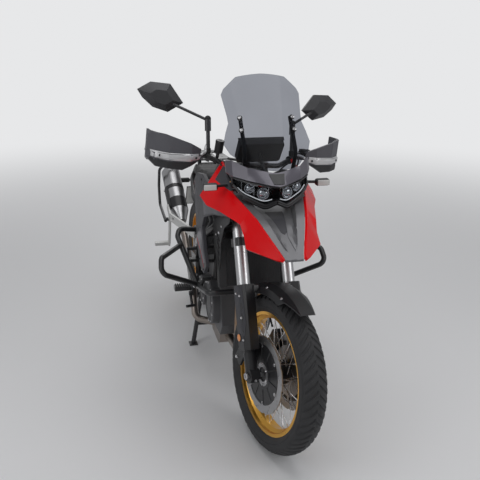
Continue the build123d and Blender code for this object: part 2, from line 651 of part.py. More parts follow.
def engine():
    """Parallel-twin engine: crankcase with side covers and a forward-leaning cylinder block."""
    case = side_plate([(470, 330), (520, 262), (820, 246), (905, 300), (920, 470), (830, 560), (640, 560),
                       (500, 520)],
                      -118, 118)
    cylinders = side_plate([(478, 520), (690, 560), (640, 790), (430, 752)], -104, 104)
    cover_right = Plane(origin=(-118, 0, 0), x_dir=(0, -1, 0), z_dir=(-1, 0, 0)) * extrude(
        Pos(-610, 400) * Circle(108), 36)
    cover_left = Plane(origin=(118, 0, 0), x_dir=(0, 1, 0), z_dir=(1, 0, 0)) * extrude(
        Pos(620, 392) * Circle(96), 34)
    clutch = Plane(origin=(-118, 0, 0), x_dir=(0, -1, 0),
                   z_dir=(-1, 0, 0)) * extrude(Pos(-760, 400) * Circle(76), 46)
    body = case + cylinders + cover_right + cover_left + clutch
    body -= block((chain_x - 12, chain_x + 12), (770, 1000), (335, 465))
    body += rod((chain_x - 13, *chain_front), (chain_x + 7, *chain_front), chain_front_radius)
    place("engine", body)


def cooling():
    """Radiator with its side tanks ahead of the cylinders."""
    plane = Plane(origin=(0, 372, 684), x_dir=(1, 0, 0), z_dir=(0, -0.97, 0.24))
    body = extrude(plane * Rectangle(260, 206), 17, both=True)
    for side in (-1, 1):
        body += extrude(plane * Pos(side * 142, 0) * Rectangle(34, 216), 23, both=True)
        body += rod((side * 92, 380, 742), (side * 92, 430.1, 742), 8)
    place("radiator", body)


silencer_low = Vector(-196, 1226, 620)
silencer_high = Vector(-214, 1530, 834)
silencer_radius = 52
link_radius = 18


def exhaust():
    """Header pipes and collector under the engine, and an upswept silencer on the right."""
    pipes = None
    for x in (-48, 48):
        pipe = tube([(x, 459, 610), (x, 404, 598.6), (x * 1.15, 402, 330), (x * 0.9, 470, 205),
                     (-20 + x * 0.5, 700, 178)],
                    20, 55)
        pipes = pipe if pipes is None else pipes + pipe
    box = side_plate([(660, 150), (690, 132), (860, 136), (880, 160), (880, 218), (850, 232), (680, 232),
                      (655, 210)],
                     -92, 60)
    direction = (silencer_high - silencer_low).normalized()
    link = tube([(-70, 800, 190), (-184, 850, 206), (-184, 940, 400), tuple(silencer_low - direction * 120),
                 tuple(silencer_low - direction * seat_gap)], link_radius, 45)
    place("exhaust_pipes", pipes + box + link)
    start = Plane(origin=silencer_low, z_dir=direction)
    can_start = start.offset((silencer_high - silencer_low).length * 0.2)
    can = extrude(can_start * Circle(silencer_radius), (silencer_high - silencer_low).length * 0.8)
    cone = loft([start * Circle(27), can_start * Circle(silencer_radius)])
    end = Plane(origin=silencer_high, z_dir=direction)
    cap = loft([end * Circle(silencer_radius), end.offset(26) * Circle(34)])
    outlet = extrude(end.offset(-40) * Circle(20), 80)
    place("silencer", can + cone + cap - outlet)


# ---------------------------------------------------------------- bodywork
def fuel_tank():
    """Fuel tank between the spars, with a filler cap."""
    # y, half width and height at the foot, half width and height of the shoulder, half width and height on
    # top
    rows = [(452, 56, 916, 104, 950, 70, 1010), (520, 74, 856, 150, 950, 96, 1062),
            (640, 78, 826, 164, 940, 104, 1070),
            (760, 76, 806, 136, 900, 86, 1010), (850, 60, 820, 104, 860, 62, 908)]
    sections = []
    for y, foot, z_foot, wide, shoulder, top, height in rows:
        half = [(foot, z_foot), (wide, shoulder - (30 if y < 500 or y > 800 else 44)), (wide, shoulder),
                (top, height)]
        sections.append((y, half + [(-x, z) for x, z in reversed(half)]))
    body = section_loft(sections)
    cap = Pos(0, 570, 1066) * Cylinder(38, 16)
    place("fuel_tank", body + cap)


def side_panels():
    """Shroud panels that run from under the wings down each side of the radiator."""
    plan = [(152, 96), (186, 210), (204, 400), (206, 640), (186, 820), (172, 818), (191, 636), (189, 404),
            (171, 214),
            (138, 100)]
    outline = [(100, 970), (300, 926), (452, 872), (500, 818), (452, 722), (398, 664), (470, 600), (560, 606),
               (640, 700), (720, 800), (810, 880), (812, 960), (620, 1034), (470, 1060), (330, 1036), (236, 1000),
               (140, 980)]
    one = side_plate(outline, 100, 230) & plan_slab(plan, 560, 1100)
    place("side_panels", both_sides(one))


# y, upper edge (x, z), lower edge (x, z)
wing_rows = [(322, (150, 1146), (244, 1006)), (236, (152, 1106), (232, 986)), (143, (150, 1062), (196, 984)),
             (-12, (110, 1020), (150, 976)), (-50, (100, 1006), (142, 938)), (-91, (88, 986), (144, 904)),
             (-206, (49, 921), (66, 897)), (-228, (43, 909), (50, 899))]
wing_wall = 11


def wings():
    """Red wings from beside the screen down to the tip of the beak."""
    place("wings", both_sides(section_loft(blade_sections(wing_rows, wing_wall))))


def beak():
    """Beak panel between the wings, with a sunk middle."""
    # half width of the sunk middle and its height at each row of the wings from the third on
    middles = [(90, 1006), (58, 984), (48, 972), (38, 956), (10, 914), (6, 902)]
    wall = 9
    sections = []
    for (y, outline), (middle, z_middle) in zip(blade_sections(wing_rows[2:], wing_wall), middles):
        edge, z_edge = outline[3][0] - seat_gap, outline[3][1]
        half = [(edge, z_edge - wall), (edge, z_edge), (middle + 10, z_edge - 3), (middle, z_middle)]
        under = [(middle, z_middle - wall)]
        sections.append((y, half + [(-x, z) for x, z in reversed(half)] + [(-x, z) for x,
                                                                           z in under] + under))
    place("beak", section_loft(sections))


def cross_loft(rows):
    """Faceted body, the same on both sides, through outlines given as (x, [(y, z), ...])."""
    faces = []
    for x, outline in [(-x, o) for x, o in reversed(rows[1:])] + rows:
        plane = Plane(origin=(x, 0, 0), x_dir=(0, 1, 0), z_dir=(1, 0, 0))
        faces.append(plane * make_face(Polyline(*outline, close=True)))
    return loft(faces, ruled=True)


def nose():
    """Brow over the headlight, the headlight itself and its clear cover."""
    brow_rows = [(0, [(-26, 1115), (31, 1154), (36, 1144), (-6, 1108.4)]),
                 (30, [(-12, 1117), (40, 1157), (46, 1147), (6, 1109.5)]),
                 (104, [(52, 1124), (72, 1170), (80, 1162), (66, 1117)]),
                 (150, [(108, 1130), (138, 1186), (146, 1176), (124, 1124.5)]),
                 (168, [(148, 1138), (168, 1182), (174, 1172), (160, 1134)])]
    place("nose_cowl", cross_loft(brow_rows))
    lamp_rows = [(0, [(16, 1052), (-4, 1108), (100, 1108), (100, 1052)]),
                 (44, [(28, 1030), (14, 1110), (110, 1110), (110, 1030)]),
                 (120, [(72, 1064), (76, 1118), (130, 1118), (130, 1064)]),
                 (150, [(116, 1098), (122, 1124), (146, 1124), (146, 1098)])]
    place("headlight", cross_loft(lamp_rows))
    cover_rows = []
    for x, outline in lamp_rows:
        (y_low, z_low), (y_high, z_high) = outline[0], outline[1]
        cover_rows.append((x, [(y_low - 8, z_low), (y_high - 8, z_high), (y_high - 4, z_high),
                               (y_low - 4, z_low)]))
    place("headlight_cover", cross_loft(cover_rows))


screen_tilt = 37.7             # from the vertical
screen_radius = 300
screen_foot = (32, 1151)       # y, z of the lower middle
screen_wall = 4
# half width and distance up the screen, from the lower middle to the top middle
screen_rows = [(0, 12), (60, 22), (104, 46), (156, 111), (174, 160), (162, 203), (148, 241), (149, 272),
               (160, 372),
               (150, 392), (100, 432), (0, 436)]


def screen_point(angle, u, inset):
    """Point at a distance u up the screen, this angle round its bow and this far in from its front face."""
    tilt, turn = math.radians(screen_tilt), math.radians(angle)
    depth = screen_radius - (screen_radius - inset) * math.cos(turn)
    return Vector((screen_radius - inset) * math.sin(turn),
                  screen_foot[0] + u * math.sin(tilt) + depth * math.cos(tilt),
                  screen_foot[1] + u * math.cos(tilt) - depth * math.sin(tilt))


def screen():
    """Tall tinted screen, a bowed sheet on two arms, with the instrument display between them."""
    tilt = math.radians(screen_tilt)
    up = (0, math.sin(tilt), math.cos(tilt))
    ahead = (0, -math.cos(tilt), math.sin(tilt))
    base = Plane(origin=(0, screen_foot[0], screen_foot[1]), x_dir=(1, 0, 0), z_dir=up)
    sheet = base * Pos(0, screen_radius) * (Circle(screen_radius) - Circle(screen_radius - screen_wall))
    sheet = extrude(sheet, 470)
    face_plane = Plane(origin=(0, screen_foot[0], screen_foot[1]), x_dir=(1, 0, 0), z_dir=ahead)
    outline = [(x, u) for x, u in screen_rows] + [(-x, u) for x, u in reversed(screen_rows[1:-1])]
    cutter = extrude(face_plane * make_face(Polyline(*outline, close=True)), 130, both=True)
    place("windscreen", sheet & cutter)
    foot = on_axis(905, 150)
    grip = screen_wall + 8 + seat_gap
    bracket = rod(on_axis(905, 30 + seat_gap), on_axis(905, 158), 16)
    bracket += rod((-70, foot.Y, foot.Z), (70, foot.Y, foot.Z), 10)
    bracket += rod((-98, 178, 1082), (98, 178, 1082), 7)
    bracket += tube([(0, 178, 1082), (0, 234, 1141), (0, 279.2, 1180.6)], 6, 30)
    for side in (-1, 1):
        bracket += tube([(side * 64, foot.Y, foot.Z), (side * 101, 178, 1090),
                         tuple(screen_point(side * 20.5, 100, grip)),
                         tuple(screen_point(side * 20.5, 258, grip))], 8, 40)
        bracket += rod((side * 44, 178, 1082), (side * 44, 112.6, 1082), 6)
        bracket += rod((side * 86, 177, 1060), (side * 144.4, 177, 1060), 6)
    place("screen_bracket", bracket)
    panel = Plane(origin=(0, 290, 1190), x_dir=(1, 0, 0), z_dir=(0, 0.75, 0.66))
    case = extrude(panel * RectangleRounded(186, 118, 14), 14, both=True)
    place("instrument_display", case)


def seats():
    """Rider and pillion seats."""
    rider_rows = [(866, 70, 92, 846, 872), (960, 120, 128, 806, 842), (1060, 138, 140, 800, 838),
                  (1150, 118, 122, 816, 862), (1176, 96, 104, 842, 888)]
    sections = []
    for y, foot, wide, z_foot, top in rider_rows:
        half = [(foot - 20, z_foot - 16), (wide, z_foot), (wide - 6, top - 14), (wide - 36, top)]
        sections.append((y, half + [(-x, z) for x, z in reversed(half)]))
    place("rider_seat", section_loft(sections))
    pillion_rows = [(1176 + seat_gap, 90, 846, 896), (1240, 112, 850, 908), (1340, 116, 858, 912),
                    (1430, 92, 868, 912)]
    sections = []
    for y, wide, z_foot, top in pillion_rows:
        half = [(wide - 14, z_foot), (wide, z_foot + 14), (wide - 8, top - 12), (wide - 34, top)]
        sections.append((y, half + [(-x, z) for x, z in reversed(half)]))
    place("pillion_seat", section_loft(sections))


def tail():
    """Tail fairing, rear lamp, rack, number-plate holder and plate."""
    rows = [(900, 112, 148, 730, 794), (1060, 132, 148, 744, 782), (1176, 130, 146, 756, 816),
            (1400, 100, 118, 806, 850), (1560, 52, 66, 842, 872)]
    sections = []
    for y, foot, wide, z_foot, top in rows:
        outer = [(foot, z_foot), (wide, z_foot + 18), (wide - 8, top), (wide - 16, top),
                 (wide - 10, z_foot + 22),
                 (foot - 6, z_foot + 8)]
        sections.append((y, outer))
    place("tail_panels", both_sides(section_loft(sections)))
    lamp = block((-45.9, 45.9), (1550, 1584), (843, 869))
    place("tail_lamp", fillet(lamp.edges().filter_by(Axis.Z), 12))
    plate = plan_slab([(-96, 1400), (-116, 1440), (-96, 1650), (-56, 1672), (56, 1672), (96, 1650),
                       (116, 1440), (96, 1400)], 924, 932)
    slots = None
    for x in (-54, 0, 54):
        slot = Pos(x, 1540, 920) * extrude(SlotOverall(150, 22, rotation=90), 20)
        slots = slot if slots is None else slots + slot
    holes = None
    for x in (-80, 80):
        for y in (1460, 1610):
            hole = Pos(x, y, 920) * extrude(Circle(4.2), 20)
            holes = hole if holes is None else holes + hole
    legs = None
    for side in (-1, 1):
        for x, y in ((53, 1446), (51, 1484)):
            leg = rod((side * x, y, rack_foot), (side * x, y, 926), 9)
            legs = leg if legs is None else legs + leg
    rack = plate - slots + legs - holes
    place("rear_rack", rack)
    y_wheel = wheelbase
    root = 1479 + seat_gap
    arm = side_plate([(root, 836), (1545, 838), (y_wheel + 210, 700), (y_wheel + 290, 560),
                      (y_wheel + 278, 552),
                      (y_wheel + 180, 680), (1540, 800), (root, 812)], -36, 36)
    place("plate_holder", arm)
    tilt = Plane(origin=(0, y_wheel + 250.3, 630.2), x_dir=(1, 0, 0), z_dir=(0, 0.868, 0.496))
    place("number_plate", extrude(tilt * RectangleRounded(180, 150, 8), 1.5))


def turn_signals():
    """Stalked indicators, two at the nose and two at the tail."""
    front = rod((158, 186, 1078), (205, 168, 1080), 6)
    lens = block((200, 258), (146, 176), (1066, 1094))
    front = front + fillet(lens.edges(), 9)
    place("front_signals", both_sides(front))
    rear = rod((36 + seat_gap, 1590, 770), (96, 1590, 770), 6)
    lens = block((92, 148), (1576, 1606), (757, 783))
    rear = rear + fillet(lens.edges(), 9)
    place("rear_signals", both_sides(rear))


# ---------------------------------------------------------------- rider's gear
def crash_bars():
    """Crash bars: a hoop down each side and across under the radiator, and a loop on each side."""
    half = [(178, 856, 690), (262, 838, 704), (276, 800, 676), (212, 590, 494), (200, 362, 546)]
    bars = tube(half + [(-x, y, z) for x, y, z in reversed(half)], crash_tube_radius, 34)
    for side in (-1, 1):
        bars += tube([(side * 264, 765, 645), (side * 384, 560, 655), (side * 392, 505, 600),
                      (side * 214, 590, 500)],
                     crash_tube_radius - 0.5, 34)
        bars += rod((side * (158 + seat_gap), 538, 545), (side * 198, 538, 545), 9)
        bars += rod((side * 192, 538, 549), (side * 209, 538, 504), 8)
        bars += block(sorted((side * (165 + seat_gap), side * 182)), (838, 874), (668, 706))
    place("crash_bars", bars)


def foot_controls():
    """Rider's foot pegs with their hangers, brake pedal and gear lever."""
    outer = hanger_inner + 8
    hanger = side_plate([(760, 372), (830, 366), (930, 456), (962, 560), (926, 572), (880, 480), (770, 412)],
                        hanger_inner, outer)
    peg = fillet(block((outer, outer + 84), (786, 834), (388, 412)).edges().filter_by(Axis.X), 8)
    place("rider_pegs", both_sides(hanger + peg))
    pedal = tube([(-outer - 8, 768, 378), (-outer - 8, 720, 336), (-outer - 8, 640, 372),
                  (-outer - 50, 622, 378)], 7, 22)
    pedal += rod((-outer - seat_gap, 768, 384), (-outer - 16, 768, 384), 11)
    lever = tube([(outer + 8, 768, 378), (outer + 8, 690, 360), (outer + 8, 640, 376),
                  (outer + 44, 626, 378)], 7, 20)
    lever += rod((outer + seat_gap, 768, 384), (outer + 16, 768, 384), 11)
    place("foot_levers", pedal + lever)


pillion_hanger_outer = 267


def pillion_pegs():
    """Pillion pegs on pierced alloy hangers that stand out round the silencer."""
    inner, outer = pillion_hanger_outer - 9, pillion_hanger_outer
    plan = plan_slab([(152, 996), (inner, 1176), (inner, 1310), (outer, 1310), (outer, 1173), (161, 990)],
                     400, 800)
    beam = side_plate([(996, 596), (996, 640), (1180, 690), (1296, 706), (1300, 684), (1190, 650)], 100, 300)
    arm = side_plate([(1180, 690), (1184, 640), (1232, 500), (1262, 470), (1290, 478), (1272, 540),
                      (1226, 650),
                      (1240, 690)], 100, 300)
    for y, z, radius in ((1204, 652, 11), (1224, 600, 9), (1243, 548, 7), (1150, 664, 8)):
        arm -= rod((100, y, z), (300, y, z), radius)
        beam -= rod((100, y, z), (300, y, z), radius)
    hanger = (beam + arm) & plan
    foot = block((140, 164), (990, 1030), (600, 640))
    peg = fillet(block((outer, outer + 75), (1250, 1286), (478, 500)).edges().filter_by(Axis.X), 8)
    place("pillion_pegs", both_sides(hanger + foot + peg))


def drive_chain():
    """Final-drive chain round both sprockets, with its guard."""
    front, rear = Vector(*chain_front), Vector(wheelbase, rear_axle_z)
    r_front, r_rear = chain_front_radius + seat_gap, sprocket_radius + seat_gap
    outer = make_hull((Pos(front) * Circle(r_front + 12)).edges() + (Pos(rear) * Circle(r_rear + 12)).edges())
    inner = make_hull((Pos(front) * Circle(r_front)).edges() + (Pos(rear) * Circle(r_rear)).edges())
    plane = Plane(origin=(chain_x, 0, 0), x_dir=(0, 1, 0), z_dir=(1, 0, 0))
    loop = extrude(plane * outer, 7, both=True) - extrude(plane * inner, 20, both=True)
    place("drive_chain", loop)


def centre_stand():
    """Centre stand with two legs, a cross tube, flat feet and its pivot tube and pin."""
    y_pivot, z_pivot = stand_pivot
    y_foot, half = stand_foot
    stand = rod((-stand_leg_top - 13, y_pivot, z_pivot), (stand_leg_top + 13, y_pivot, z_pivot), 14)
    stand += rod((-bracket_outer, y_pivot, z_pivot), (bracket_outer, y_pivot, z_pivot), stand_pin_radius)
    cross_share = 0.6              # how far down the legs the cross tube is
    for side in (-1, 1):
        leg = rod((side * stand_leg_top, y_pivot, z_pivot), (side * half, y_foot, 8), stand_tube_radius)
        foot = block(sorted((side * (half - 20), side * (half + 24))), (y_foot - 26, y_foot + 18),
                     (-ground_lift, 7))
        stand = stand + leg + foot
    y_cross = y_pivot + (y_foot - y_pivot) * cross_share
    z_cross = z_pivot * (1 - cross_share)
    x_cross = stand_leg_top + (half - stand_leg_top) * cross_share
    stand = stand + rod((-x_cross, y_cross, z_cross), (x_cross, y_cross, z_cross), 9)
    place("centre_stand", stand)


def side_stand():
    """Side stand folded back along the left side, its eye on the bracket's pin."""
    y_pivot, z_pivot = side_stand_pivot
    inner, outer = side_stand_eye
    middle = (inner + outer) / 2
    eye = rod((inner, y_pivot, z_pivot), (outer, y_pivot, z_pivot), 17)
    foot = Vector(middle + 8, y_pivot + 206, z_pivot - 34)
    leg = rod((middle, y_pivot, z_pivot), foot, 10)
    pad = block((foot.X - 26, foot.X + 24), (foot.Y - 22, foot.Y + 18), (foot.Z - 14, foot.Z - 6))
    stand = eye + leg + pad
    stand -= rod((inner - 5, y_pivot, z_pivot), (outer + 5, y_pivot, z_pivot),
                 side_stand_pin_radius + running_clearance)
    place("side_stand", stand)


def luggage_rails():
    """Luggage rails from under the rack round the outside of the silencer to the pillion hangers."""
    rails = None
    x = luggage_rail_x
    for side in (-1, 1):
        rail = tube([(side * 98, 1500, 915.5), (side * x, 1462, 884), (side * x, 1516, 764),
                     (side * x, 1486, 656),
                     (side * x, 1216, 634)], 8, 34)
        boss = rod((side * (pillion_hanger_outer + seat_gap), 1240, 636), (side * (x + 4), 1240, 636), 10)
        rails = rail + boss if rails is None else rails + rail + boss
    place("luggage_rails", rails)


def main():
    """Builds and writes every piece."""
    front_wheel()
    rear_wheel()
    fork()
    clamps()
    handlebar()
    handguards_and_mirrors()
    front_mudguard()
    calipers()
    main_frame()
    rear_subframe()
    stand_brackets()
    swingarm()
    shock_absorber()
    engine()
    cooling()
    exhaust()
    fuel_tank()
    side_panels()
    wings()
    beak()
    nose()
    screen()
    seats()
    tail()
    turn_signals()
    crash_bars()
    foot_controls()
    pillion_pegs()
    drive_chain()
    luggage_rails()
    centre_stand()
    side_stand()


main()
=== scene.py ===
"""Looks of the adventure motorcycle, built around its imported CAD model.

Every shape is drawn in the bike's own drawing, in millimetres: y = 0 under the front axle, +y to the rear, +x to
the rider's left and z = 0 on the ground, with the steering straight. Drawing turns what is steered and brings it
to the part's frame, in metres.
"""

import json
import logging
import math
from dataclasses import dataclass
from enum import Enum
from typing import Optional, Sequence

import bmesh
import bpy
from mathutils import Matrix, Vector
from mathutils.bvhtree import BVHTree

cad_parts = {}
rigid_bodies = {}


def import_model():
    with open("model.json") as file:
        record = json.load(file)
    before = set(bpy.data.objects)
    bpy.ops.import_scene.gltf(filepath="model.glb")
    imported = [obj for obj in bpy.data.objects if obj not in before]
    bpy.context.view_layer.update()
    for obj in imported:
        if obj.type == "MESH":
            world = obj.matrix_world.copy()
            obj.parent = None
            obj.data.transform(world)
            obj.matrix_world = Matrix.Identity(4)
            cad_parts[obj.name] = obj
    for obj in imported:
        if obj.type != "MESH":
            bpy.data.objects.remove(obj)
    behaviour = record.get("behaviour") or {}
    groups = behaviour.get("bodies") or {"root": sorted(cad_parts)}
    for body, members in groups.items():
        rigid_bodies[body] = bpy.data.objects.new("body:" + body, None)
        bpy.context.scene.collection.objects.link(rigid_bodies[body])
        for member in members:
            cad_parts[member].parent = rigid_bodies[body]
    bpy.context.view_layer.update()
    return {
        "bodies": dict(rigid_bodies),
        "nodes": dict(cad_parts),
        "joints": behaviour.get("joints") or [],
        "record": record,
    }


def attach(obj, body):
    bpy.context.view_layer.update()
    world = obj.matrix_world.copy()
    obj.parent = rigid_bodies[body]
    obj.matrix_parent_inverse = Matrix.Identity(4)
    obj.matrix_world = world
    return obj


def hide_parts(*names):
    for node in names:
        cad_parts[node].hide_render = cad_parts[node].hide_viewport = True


LOG = logging.getLogger("motorcycle")
Point = Sequence[float]
MM_PER_M = 1000.0
SHARP_ANGLE = math.radians(34)
SIDES = ((1, "left"), (-1, "right"))
# Where the lines that look for a surface start: clear of the bike's sides, above its bodywork, ahead of its guards.
CLEAR_SIDE = 600.0
CLEAR_ABOVE = 1300.0
CLEAR_AHEAD = -100.0


# ---------------------------------------------------------------- drawing and bodies
class Body(Enum):
    """The bodies that a piece can ride on."""

    FRAME = "frame"
    STEERING = "steering"
    FRONT_WHEEL = "front_wheel"
    REAR_WHEEL = "rear_wheel"
    CENTRE_STAND = "centre_stand"
    SIDE_STAND = "side_stand"

    @property
    def steered(self) -> bool:
        """Whether the body turns with the handlebar."""
        return self in (Body.STEERING, Body.FRONT_WHEEL)


@dataclass(frozen=True)
class Drawing:
    """The bike's drawing and how it lies in the part's frame."""

    rake: float = 25.5
    trail: float = 108.0
    rest_steer: float = 13.8
    origin_back: float = 751.0
    ground_lift: float = -0.8998
    front_axle: float = 329.0
    wheelbase: float = 1510.0
    rear_axle: float = 345.0

    @property
    def up(self) -> Vector:
        """Direction of the steering axis, upwards."""
        return Vector((0, math.sin(math.radians(self.rake)), math.cos(math.radians(self.rake))))

    def on_axis(self, height: float, ahead: float = 0.0, side: float = 0.0) -> Vector:
        """Point at a height along the steering axis, then moved squarely ahead of it and sideways.

        Args:
            height: height of the foot point on the axis.
            ahead: distance ahead of the axis.
            side: distance to the left.

        Returns:
            The point in the drawing.
        """
        along = height / self.up.z
        return Vector((side, -self.trail + along * self.up.y - ahead * self.up.z,
                       along * self.up.z + ahead * self.up.y))

    def matrix(self, steered: bool) -> Matrix:
        """The transform from the drawing to the part's frame.

        Args:
            steered: whether the shape turns with the handlebar.

        Returns:
            A 4 by 4 matrix.
        """
        foot = Vector((0, -self.trail, 0))
        turn = Matrix.Identity(4)
        if steered:
            rotation = Matrix.Rotation(math.radians(self.rest_steer), 4, self.up)
            turn = Matrix.Translation(foot) @ rotation @ Matrix.Translation(-foot)
        move = Matrix.Translation(Vector((0, -self.origin_back, self.ground_lift)))
        return Matrix.Scale(1 / MM_PER_M, 4) @ move @ turn


DRAWING = Drawing()


# ---------------------------------------------------------------- finishes
class Texture(Enum):
    """The kinds of fine surface that a finish can have."""

    PLAIN = "plain"
    GRAIN = "grain"
    BRUSHED = "brushed"
    CAST = "cast"
    LEATHER = "leather"


def noise(nodes: bpy.types.Nodes, links: bpy.types.NodeLinks, place: bpy.types.NodeSocket, scale: float,
          detail: float = 2.0) -> bpy.types.NodeSocket:
    """A noise pattern's factor.

    Args:
        nodes: the tree's nodes.
        links: the tree's links.
        place: the coordinates.
        scale: the pattern's scale, per metre.
        detail: the pattern's detail.

    Returns:
        The factor output.
    """
    pattern = nodes.new("ShaderNodeTexNoise")
    pattern.inputs["Scale"].default_value = scale
    pattern.inputs["Detail"].default_value = detail
    links.new(place, pattern.inputs["Vector"])
    return pattern.outputs["Fac"]


def blended(nodes: bpy.types.Nodes, links: bpy.types.NodeLinks, factor: bpy.types.NodeSocket,
            low: Sequence[float], high: Sequence[float]) -> bpy.types.NodeSocket:
    """A colour that a factor takes from one to another.

    Args:
        nodes: the tree's nodes.
        links: the tree's links.
        factor: the factor.
        low: the colour at 0.
        high: the colour at 1.

    Returns:
        The colour output.
    """
    mix = nodes.new("ShaderNodeMix")
    mix.data_type = "RGBA"
    mix.inputs["A"].default_value = (*low, 1)
    mix.inputs["B"].default_value = (*high, 1)
    links.new(factor, mix.inputs["Factor"])
    return mix.outputs["Result"]


def layered(nodes: bpy.types.Nodes, links: bpy.types.NodeLinks, share: bpy.types.NodeSocket,
            under: bpy.types.NodeSocket, over: bpy.types.NodeSocket) -> bpy.types.NodeSocket:
    """A shader that a share takes from one to another.

    Args:
        nodes: the tree's nodes.
        links: the tree's links.
        share: the share of the second shader.
        under: the first shader.
        over: the second shader.

    Returns:
        The shader output.
    """
    mix = nodes.new("ShaderNodeMixShader")
    links.new(share, mix.inputs["Fac"])
    links.new(under, mix.inputs[1])
    links.new(over, mix.inputs[2])
    return mix.outputs["Shader"]


class Look:
    """How a surface looks, as a node material that is made once."""

    name: str

    def material(self) -> bpy.types.Material:
        """The node material, made when it is first asked for."""
        found = bpy.data.materials.get(f"{self.name}_finish")
        if found:
            return found
        material = bpy.data.materials.new(f"{self.name}_finish")
        material.use_nodes = True
        self._fill(material.node_tree.nodes, material.node_tree.links)
        return material

    def _fill(self, nodes: bpy.types.Nodes, links: bpy.types.NodeLinks) -> None:
        """Fills the node tree, in each kind of look."""
        raise NotImplementedError


@dataclass(frozen=True)
class Finish(Look):
    """An opaque finish: colour, gloss and the fine relief and mottling of its surface."""

    name: str
    colour: tuple[float, float, float]
    metallic: float = 0.0
    roughness: float = 0.5
    coat: float = 0.0
    specular: float = 0.5
    texture: Texture = Texture.PLAIN
    grain: float = 900.0
    depth: float = 0.08
    mottle: float = 0.12
    spread: float = 0.06
    dust: float = 0.0
    brushed_along: tuple[float, float, float] = (1.0, 1.0, 30.0)

    def _fill(self, nodes: bpy.types.Nodes, links: bpy.types.NodeLinks) -> None:
        """Fills the node tree with mottled colour, uneven gloss and fine relief.

        Args:
            nodes: the tree's nodes.
            links: the tree's links.
        """
        shader = nodes["Principled BSDF"]
        shader.inputs["Metallic"].default_value = self.metallic
        shader.inputs["Coat Weight"].default_value = self.coat
        shader.inputs["Coat Roughness"].default_value = 0.06
        shader.inputs["Specular IOR Level"].default_value = self.specular
        place = nodes.new("ShaderNodeTexCoord").outputs["Object"]
        low = [c * (1 - self.mottle) for c in self.colour]
        high = [min(1.0, c * (1 + self.mottle) + 0.6 * self.dust) for c in self.colour]
        colour = blended(nodes, links, noise(nodes, links, place, 14.0, 4.0), low, high)
        links.new(colour, shader.inputs["Base Color"])
        gloss = nodes.new("ShaderNodeMapRange")
        gloss.inputs["To Min"].default_value = max(0.02, self.roughness - self.spread)
        gloss.inputs["To Max"].default_value = min(1.0, self.roughness + self.spread)
        links.new(noise(nodes, links, place, 45.0, 3.0), gloss.inputs["Value"])
        links.new(gloss.outputs["Result"], shader.inputs["Roughness"])
        relief = self._relief(nodes, links, place)
        if relief is not None:
            links.new(relief, shader.inputs["Normal"])

    def _relief(self, nodes: bpy.types.Nodes, links: bpy.types.NodeLinks,
                place: bpy.types.NodeSocket) -> Optional[bpy.types.NodeSocket]:
        """The normal from the finish's fine relief, or None for a plain one.

        Args:
            nodes: the tree's nodes.
            links: the tree's links.
            place: the coordinates.

        Returns:
            The bump node's output, or None.
        """
        if self.texture is Texture.PLAIN:
            return None
        if self.texture is Texture.BRUSHED:
            stretch = nodes.new("ShaderNodeMapping")
            stretch.inputs["Scale"].default_value = self.brushed_along
            links.new(place, stretch.inputs["Vector"])
            height = noise(nodes, links, stretch.outputs["Vector"], self.grain)
        elif self.texture is Texture.LEATHER:
            cells = nodes.new("ShaderNodeTexVoronoi")
            cells.feature = "SMOOTH_F1"
            cells.inputs["Scale"].default_value = self.grain
            links.new(place, cells.inputs["Vector"])
            height = cells.outputs["Distance"]
        else:
            detail = 6.0 if self.texture is Texture.CAST else 2.0
            height = noise(nodes, links, place, self.grain, detail)
        bump = nodes.new("ShaderNodeBump")
        bump.inputs["Strength"].default_value = self.depth
        bump.inputs["Distance"].default_value = 1 / MM_PER_M
        links.new(height, bump.inputs["Height"])
        return bump.outputs["Normal"]


@dataclass(frozen=True)
class ClearSheet(Look):
    """A thin clear or tinted sheet or lens, which lets the light straight through."""

    name: str
    tint: tuple[float, float, float]
    gloss: float = 0.03
    strength: float = 1.0

    def _fill(self, nodes: bpy.types.Nodes, links: bpy.types.NodeLinks) -> None:
        """Fills the node tree with a tint and a thin shine that grows towards the edges.

        Args:
            nodes: the tree's nodes.
            links: the tree's links.
        """
        nodes.remove(nodes["Principled BSDF"])
        through = nodes.new("ShaderNodeBsdfTransparent")
        haze = noise(nodes, links, nodes.new("ShaderNodeTexCoord").outputs["Object"], 9.0)
        tint = blended(nodes, links, haze, [c * 0.94 for c in self.tint], self.tint)
        links.new(tint, through.inputs["Color"])
        shine = nodes.new("ShaderNodeBsdfGlossy")
        shine.inputs["Roughness"].default_value = self.gloss
        edge = nodes.new("ShaderNodeLayerWeight")
        edge.inputs["Blend"].default_value = 0.2
        share = nodes.new("ShaderNodeMapRange")
        share.inputs["To Min"].default_value = 0.02 * self.strength
        share.inputs["To Max"].default_value = 0.34 * self.strength
        links.new(edge.outputs["Facing"], share.inputs["Value"])
        surface = layered(nodes, links, share.outputs["Result"], through.outputs["BSDF"], shine.outputs["BSDF"])
        links.new(surface, nodes["Material Output"].inputs["Surface"])


@dataclass(frozen=True)
class Glow(Look):
    """A lit lens."""

    name: str
    colour: tuple[float, float, float]
    strength: float = 1.2

    def _fill(self, nodes: bpy.types.Nodes, links: bpy.types.NodeLinks) -> None:
        """Fills the node tree with the light and its small prisms.

        Args:
            nodes: the tree's nodes.
            links: the tree's links.
        """
        shader = nodes["Principled BSDF"]
        shader.inputs["Roughness"].default_value = 0.2
        shader.inputs["Emission Strength"].default_value = self.strength
        place = nodes.new("ShaderNodeTexCoord").outputs["Object"]
        prisms = nodes.new("ShaderNodeTexVoronoi")
        prisms.inputs["Scale"].default_value = 260.0
        links.new(place, prisms.inputs["Vector"])
        colour = blended(nodes, links, prisms.outputs["Distance"], self.colour, [c * 0.8 for c in self.colour])
        links.new(colour, shader.inputs["Base Color"])
        links.new(colour, shader.inputs["Emission Color"])


